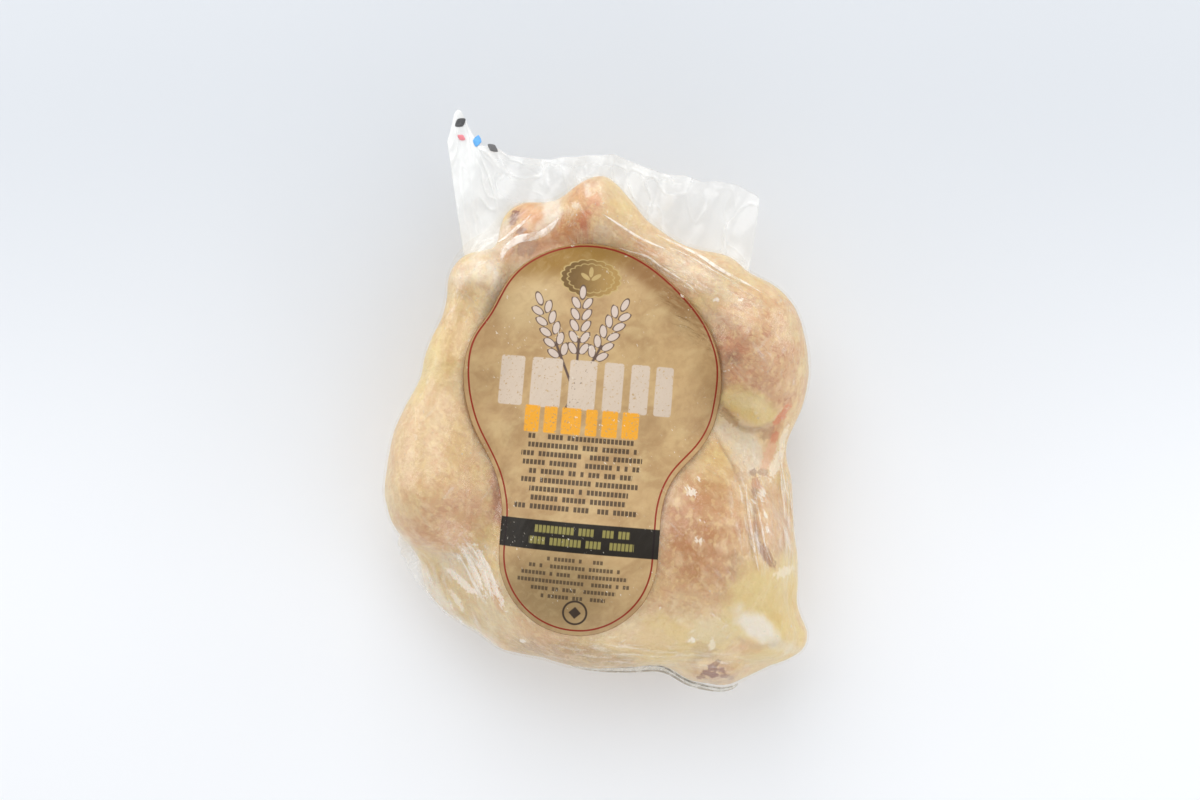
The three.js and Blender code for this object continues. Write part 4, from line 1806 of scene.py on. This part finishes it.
@dataclass
class Fin:
    """Sealed film that stands out from the bag, from a buried root to its free edge.

    Attributes:
        name: its piece's name.
        root: the hidden curve that it starts from, as seen from above.
        edge: its free edge, as seen from above.
        height: the level of its root.
        rise: how far its edge lies above its root.
        waves: the waves along it.
        columns: how many points its grid has along the root.
        rows: how many points its grid has from root to edge.
        crumple: how many millimetres the noise moves it.
        thickness: how thick it is.
        edge_length: the length that the nicks of its edge are laid out over.
        nick: how deep the nicks are, as a share of its depth.
        wave_slant: how far the waves lean from straight across.
        samples: how many points its curves are drawn with.
    """

    name: str
    root: tuple[Vec2, ...]
    edge: tuple[Vec2, ...]
    height: float
    rise: float
    waves: tuple[Wave, ...]
    columns: int
    rows: int
    crumple: float = 1.0
    thickness: float = 0.5
    edge_length: float = 55.0
    nick: float = 0.03
    wave_slant: float = 0.4
    samples: int = 400

    def surface(self, across: Array, out: Array) -> Array:
        """Points of the sheet's middle.

        Args:
            across: how far along the root and edge curves, from 0 to 1.
            out: how far from root to edge, from 0 to 1.

        Returns:
            Points on the straight line between the two curves, at the fin's height and its rise, with the
            waves and a crumple of noise that both grow towards the edge.
        """
        even = np.linspace(0.0, 1.0, self.samples)
        curves = [smooth_curve(path, self.samples) for path in (self.root, self.edge)]
        root, edge = (np.stack([np.interp(across, even, c[:, k]) for k in (0, 1)], axis=-1) for c in curves)
        along = np.stack([across * self.edge_length, 0.0 * across, 0.0 * across], axis=-1)
        reach = out * (1.0 - self.nick * (1.0 + Noise(36, 2.6).at(along)))
        plan = root + (edge - root) * reach[..., None]
        lean = plan[..., 0] - self.wave_slant * plan[..., 1]
        wave = sum(w.depth * np.sin(2 * math.pi * lean / w.length + w.phase) for w in self.waves)
        crumple = layered(at_level(plan, 0.0), (31, 13.0, 1.0), (32, 5.0, 0.25))
        crumple = crumple + 0.5 * self.creases(across, out)
        level = self.height + out * (self.rise + wave) + ease(out, 0.0, 0.5) * self.crumple * crumple
        return at_level(plan, level)

    def creases(self, across: Array, out: Array) -> Array:
        """Sharp winding lines that fan out from the root.

        Args:
            across: how far along the root, from 0 to 1.
            out: how far from root to edge, from 0 to 1.

        Returns:
            1 along the lines and near 0 elsewhere.
        """
        fan = np.stack([across * 42.0, out * 9.0, 0.0 * out], axis=-1)
        lines = 1.0 - np.abs(layered(fan, (33, 5.0, 1.0), (37, 2.0, 0.35)))
        fine = 1.0 - np.abs(layered(fan, (38, 2.4, 1.0), (39, 1.2, 0.3)))
        return np.clip(lines, 0.0, 1.0) ** 14 + 0.5 * np.clip(fine, 0.0, 1.0) ** 10

    def milkiness(self, across: Array, out: Array) -> Array:
        """How milky the film is.

        Args:
            across: how far along the root, from 0 to 1.
            out: how far from root to edge, from 0 to 1.

        Returns:
            The sum of clouds that thin out along the fin, creases, the root, the sealed edge and the near
            side.
        """
        fan = np.stack([across * 60.0, out * 7.0 + across * 9.0, 0.0 * out], axis=-1)
        clouds = ease(layered(fan, (34, 7.0, 1.0), (35, 2.4, 0.5)), -0.4, 0.9)
        side = 0.42 * ease(across, 0.34, 0.05)
        sealed = 0.25 * ease(out, 0.86, 0.98) * ease(across, 1.0, 0.5)
        root = 0.35 * ease(out, 0.6, 0.2)
        clear = 1.0 - 0.6 * ease(across, 0.4, 0.8)
        return (0.1 + 0.26 * clouds) * clear + side + sealed + root + 0.18 * self.creases(across, out)

    def build(self, material: bpy.types.Material) -> None:
        """The sheet as a closed slab, with its milkiness kept at each point.

        Args:
            material: its finish.
        """
        steps = [np.linspace(0, 1, count) for count in (self.rows, self.columns)]
        out, across = np.meshgrid(*steps, indexing="ij")
        middle = self.surface(across, out)
        half = UP * self.thickness / 2
        piece = slab_piece(self.name, middle + half, middle - half)
        piece.numbers["gap"] = np.tile(self.milkiness(across, out).ravel(), 2)
        piece.build(material)


@dataclass(frozen=True)
class Ridge:
    """A fold of film: its path seen from above, its half width, its height and what it lies on."""

    path: tuple[Vec2, ...]
    width: float = 0.5
    height: float = 0.4
    lift: float = 0.1
    count: int = 48

    def traced(self, bird: Bird) -> tuple[Array, Array, Array]:
        """Lays the fold on top of the film.

        Args:
            bird: the bird in its bag.

        Returns:
            Its middle line, and half width and height vectors that taper to its ends.
        """
        start, direction = seen_rays(smooth_curve(self.path, self.count))
        line = solve_inwards(bird.bag, start, direction, ABOVE)
        normal = field_normals(bird.bag, line)
        side = unit(np.cross(np.gradient(line, axis=0), normal))
        taper = tapered(len(line))[:, None]
        return line + self.lift * normal, side * self.width * taper, normal * self.height * taper


# Folds over the film: their milky crests are partly whitened film and partly painted highlights, such as the
# long white line along the right drumstick.
THICK_FOLDS: tuple[Ridge, ...] = (
    Ridge(
        ((-43.4, 62.3), (-41.2, 67.7), (-37.6, 70.9), (-34.4, 72.7), (-27.7, 74), (-23.2, 75.8),
         (-20, 78.5), (-16.4, 82.6)),
        2.0, 0.3,
    ),
    Ridge(((-44.8, 70.9), (-41.2, 73.1), (-36.7, 76.7), (-32.2, 80.8), (-29, 83.9)), 0.9, 0.3),
    Ridge(((2, 84.4), (8.3, 80.3), (15.1, 75.8), (19.6, 73.1), (26.3, 70), (32.2, 67.7)), 0.6, 0.25),
    Ridge(
        ((26.3, 74.9), (37.6, 69.5), (46.6, 65), (53.8, 60.1), (61.4, 55.6), (70, 51.1), (74.9, 47.9)),
        1.0, 0.35,
    ),
)

THIN_FOLDS: tuple[Ridge, ...] = (
    Ridge(((32.2, 69.5), (43, 64.1), (52.9, 58.3), (61.9, 53.3)), 0.5, 0.2),
    Ridge(
        ((9.2, 69.1), (14.2, 67.3), (19.6, 65.9), (24.1, 64.1), (28.6, 60.5), (35.8, 56), (42.1, 51.5),
         (46.6, 47)),
        0.5, 0.15,
    ),
    Ridge(((67.3, -36.5), (68, -47.5), (70.2, -62.6), (73.1, -77.6)), 0.7, 0.25),
    Ridge(((70.9, -38.5), (73.6, -53.8), (75.6, -64.1), (79.4, -74.5)), 0.5, 0.25),
    Ridge(((83.5, -34.9), (87.4, -47.5), (89.6, -59.6)), 0.5, 0.2),
    Ridge(((82, -22.3), (85.5, -42.5)), 0.6, 0.2),
    Ridge(((-60.5, -65.5), (-56, -72.7), (-52.4, -80.8), (-50.2, -88.4)), 0.9, 0.3),
    Ridge(((-56.9, -64.6), (-52.4, -71.8), (-48.8, -80.8), (-47, -88.9)), 0.9, 0.3),
    Ridge(((-53.8, -65.5), (-48.8, -74.5), (-44.8, -84.4), (-42.1, -93.4)), 1.1, 0.3),
)


@dataclass
class Folds:
    """Folds of the tight film, in one piece."""

    name: str
    bird: Bird
    ridges: tuple[Ridge, ...]

    def build(self, material: bpy.types.Material) -> None:
        """Traces each fold over the film."""
        piece = tubes_piece(self.name, *zip(*(ridge.traced(self.bird) for ridge in self.ridges)))
        piece.build(material)


@dataclass
class CornerMarks:
    """Short coloured marks printed at the header's corner: small flat lozenges on its upper face."""

    fin: Fin
    marks: tuple[tuple[str, Colour, Vec2, Vec2, float], ...]
    sides: int = 40
    power: float = 1.3
    sizes: tuple[float, ...] = (0.001, 0.5, 0.85, 1.0, 1.0, 0.85, 0.5, 0.001)
    lifts: tuple[float, ...] = (0.2, 0.2, 0.2, 0.2, 0.5, 0.6, 0.62, 0.62)

    def build(self) -> None:
        """One piece for each mark: rings of a rounded lozenge laid on the sheet, shut underneath."""
        ring = np.linspace(0.0, 2 * math.pi, self.sides, endpoint=False)
        c, s = np.cos(ring), np.sin(ring)
        radius = (np.abs(c) ** self.power + np.abs(s) ** self.power) ** (-1 / self.power)
        size = np.array(self.sizes)[:, None] * radius
        for name, colour, centre, half, turn in self.marks:
            x, y = turned(size * c * half[0], size * s * half[1], -turn)
            plan = np.stack([x, y], axis=-1) + centre
            piece = globe_piece(name, at_level(plan, self.level(plan) + np.array(self.lifts)[:, None]))
            piece.build(Ink(f"{name}_ink", colour).build())

    def level(self, plan: Array) -> Array:
        """The sheet's height at places seen from above.

        Args:
            plan: the places.

        Returns:
            The height of the sheet's nearest sampled point to each.
        """
        out, across = np.meshgrid(np.linspace(0.4, 1, 90), np.linspace(0, 0.4, 120), indexing="ij")
        sheet = self.fin.surface(across, out).reshape(-1, 3)
        gaps = np.linalg.norm(plan.reshape(-1, 1, 2) - sheet[None, :, :2], axis=2)
        return sheet[gaps.argmin(axis=1), 2].reshape(plan.shape[:-1])


@dataclass
class NeckLip:
    """The bag's bottom seal, folded under the neck end: a strip of grey film with a bead along each side,
    the inner one a painted shadow.
    """

    bird: Bird
    path: tuple[Vec2, ...] = ((-12, -121), (4, -121.5), (18, -120), (34, -121), (50, -127), (63, -126))
    inner_level: float = 41.0
    outer_level: float = 34.0
    reach: float = 110.0
    width: float = 4.0
    tuck: float = 0.3
    thickness: float = 0.5
    bead: float = 0.5
    columns: int = 160
    rows: int = 9

    def surface(self, out: Array) -> Array:
        """Points of the strip.

        Args:
            out: how far out from the film, from 0 to 1.

        Returns:
            Points on the film at the inner level, and out from it by the width and down.
        """
        plan = smooth_curve(self.path, self.columns)
        level = self.inner_level + (self.outer_level - self.inner_level) * out[:, None]
        inside = at_level(np.broadcast_to(plan * 0.5, (len(out), *plan.shape)), level)
        direction = unit(at_level(plan, 0.0))[None]
        film = solve_inwards(self.bird.bag, inside[:1], direction, self.reach)
        taper = tapered(self.columns)
        ripple = 1.0 + 0.15 * Noise(51, 22.0).at(film)
        away = self.width * out[:, None] * taper * ripple - self.tuck
        strip = film + direction * away[..., None]
        strip[..., 2] = self.inner_level + (level - self.inner_level) * taper
        return strip

    def build(self) -> None:
        """The strip as a thin slab, with a dark bead along the bird that is a painted shadow line, and a
        bead along its free side.
        """
        surface = self.surface(np.linspace(0.0, 1.0, self.rows))
        half = UP * self.thickness / 2
        strip = slab_piece("neck_strip", surface[::-1] + half, surface[::-1] - half)
        strip.numbers["crest"] = np.ones(len(strip.points))
        strip.build(GatheredFilm("strip_film", 0.5, shown(214, 209, 196)).build())
        taper = tapered(self.columns)[:, None]
        # The dark inner bead is painted shadow where the lip meets the flesh.
        beads = (("neck_shadow_line", 2, shown(112, 104, 90)), ("neck_lip", self.rows - 1, shown(186, 176, 162)))
        for name, row, tone in beads:
            side = unit(np.cross(np.gradient(surface[row], axis=0), UP))
            bead = tubes_piece(name, [surface[row]], [self.bead * side * taper], [self.bead * UP * taper])
            bead.build(GatheredFilm(f"{name}_film", 0.9, tone).build())


@dataclass
class Label:
    """The printed label: an oval head on a stem with a round end, laid on the film."""

    bird: Bird
    centre: Vec2 = (-1.5, 9.5)
    tilt: float = -4.7
    half_width: float = 57.0
    crown: float = 60.5
    base: float = 56.0
    stem_radius: float = 34.2
    stem_length: float = 77.0
    hollow: float = 14.0
    lift: float = 0.85
    thickness: float = 0.35
    dents: tuple[Vec3, ...] = ((55, 32, 4.5), (151, 14, 3.4), (245, 12, -3.0), (310, 16, 3.2))
    rings: int = 110
    spokes: int = 360
    beyond: float = 140.0
    halvings: int = 30
    edge_places: int = 900

    def outline_distance(self, x: Array, y: Array) -> Array:
        """Distance to the outline: an oval, pulled in by its dents, that is softly joined to a stem.

        Args:
            x: places across the label's own plane.
            y: places up it.

        Returns:
            The distances. Each dent has its bearing and spread in degrees and its depth.
        """
        half_height = np.where(y > 0, self.crown, self.base)
        head = np.hypot(x / self.half_width, y / half_height) - 1.0
        head = head * np.minimum(self.half_width, half_height)
        bearing = np.degrees(np.arctan2(y, x))
        for place, spread, depth in self.dents:
            away = (bearing - place + 180.0) % 360.0 - 180.0
            head = head + depth * np.exp(-np.square(away / spread))
        stem = np.hypot(x, y - np.clip(y, -self.stem_length, 0.0)) - self.stem_radius
        return soft_min(head, stem, self.hollow)

    def outline(self) -> Array:
        """The outline, by halving, on even rays from the middle of the waist.

        Returns:
            Its points.
        """
        angle = np.linspace(0.0, 2 * math.pi, self.spokes, endpoint=False)
        ray = np.stack([np.cos(angle), np.sin(angle)], axis=1)
        inside, outside = np.zeros(self.spokes), np.full(self.spokes, self.beyond)
        for _ in range(self.halvings):
            middle = (inside + outside) / 2
            within = self.outline_distance(*(self.waist + middle[:, None] * ray).T) < 0
            inside, outside = np.where(within, middle, inside), np.where(within, outside, middle)
        return self.waist + inside[:, None] * ray

    @property
    def waist(self) -> Array:
        """The middle of the waist, in the label's plane."""
        return np.array([0.0, -self.stem_length / 2])

    def inset(self, flat: Array, edge: Array) -> Array:
        """How far each point lies inside the outline: its distance to the nearest of many places on it."""
        rim = evenly(np.concatenate([edge, edge[:1]]), self.edge_places, closed=True)
        return np.stack([np.linalg.norm(ring[:, None] - rim[None], axis=2).min(axis=1) for ring in flat])

    def build(self) -> None:
        """Rings from the waist to the outline, laid on the film, with each point's place on the print."""
        edge = self.outline()
        share = np.linspace(0.0, 1.0, self.rings + 1)[:, None, None]
        flat = self.waist + share * (edge - self.waist)[None]
        x, y = turned(flat[..., 0], flat[..., 1], -self.tilt)
        start = at_level(np.stack([x, y], axis=-1) + self.centre, 0.0)
        surface = solve_inwards(self.bird.bag, start, UP, ABOVE)
        normals = field_normals(self.bird.bag, surface)
        wrinkles = layered(surface, (41, 11.0, 0.2), (42, 5.0, 0.1))
        top = surface + normals * (self.lift + wrinkles)[..., None]
        bottom = top - normals * self.thickness
        piece = globe_piece("printed_label", np.concatenate([bottom, top[::-1]]))
        numbers = {"print_x": flat[..., 0], "print_y": flat[..., 1], "inset": self.inset(flat, edge)}
        for name, values in numbers.items():
            piece.numbers[name] = globe_values(np.concatenate([values, values[::-1]]))
        piece.build(PrintedLabel().build(), Slot.LABEL, LABEL_NODE)


HEADER = Fin(
    name="bag_header",
    root=((-58, 56), (-40, 64), (-12, 70), (14, 64), (40, 46), (66, 44)),
    edge=((-67, 117), (-62, 131), (-50, 115), (-16, 110), (2, 112), (24, 105), (69, 95), (73, 87)),
    height=52.0,
    rise=-2.0,
    waves=(Wave(3.0, 52.0, 0.4), Wave(1.4, 19.0, 1.3)),
    columns=300,
    rows=110,
)
SIDE_FLANGE = Fin(
    name="side_flange",
    root=((-78, -56), (-74, -72), (-62, -84)),
    edge=((-88, -60), (-90, -65), (-85, -77), (-77, -87), (-69, -95)),
    height=40.0,
    rise=-3.0,
    waves=(Wave(1.0, 17.0, 0.0),),
    columns=120,
    rows=40,
    crumple=0.3,
)
LOOSE_FILM = ClearFilm("loose_film", 0.03, 0.75, 0.12, 0.1, wrinkle=0.25, milk=(0.96, 0.965, 0.95))
FLANGE_FILM = ClearFilm("flange_film", 0.2, 0.5, 0.1, 0.1, wrinkle=0.15, milk=(1.0, 0.995, 0.98))
THICK_FILM = GatheredFilm("thick_film", 0.72, shown(255, 246, 236))
THIN_FILM = GatheredFilm("thin_film", 0.5, shown(255, 246, 234))
CORNER_MARKS = (
    ("mark_black", shown(40, 40, 42), (-61.0, 124.5), (2.9, 2.0), 35.0),
    ("mark_pink", shown(226, 120, 130), (-60.5, 117.8), (2.0, 1.3), -30.0),
    ("mark_blue", shown(70, 160, 226), (-53.3, 116.0), (2.0, 2.8), -12.0),
    ("mark_grey", shown(96, 96, 98), (-46.3, 112.8), (2.7, 1.6), -35.0),
)


def main() -> None:
    """Builds the studio and every piece, in order from the skin outwards."""
    logging.basicConfig(level=logging.INFO, format="%(name)s: %(message)s")
    Studio().build()
    bird = Bird()
    core = Core()
    Chicken(bird, core).build()
    Bag(bird, core).build()
    HEADER.build(LOOSE_FILM.build())
    SIDE_FLANGE.build(FLANGE_FILM.build())
    CornerMarks(HEADER, CORNER_MARKS).build()
    Folds("thick_folds", bird, THICK_FOLDS).build(THICK_FILM.build())
    Folds("thin_folds", bird, THIN_FOLDS).build(THIN_FILM.build())
    NeckLip(bird).build()
    Label(bird).build()


if __name__ == "__main__":
    main()
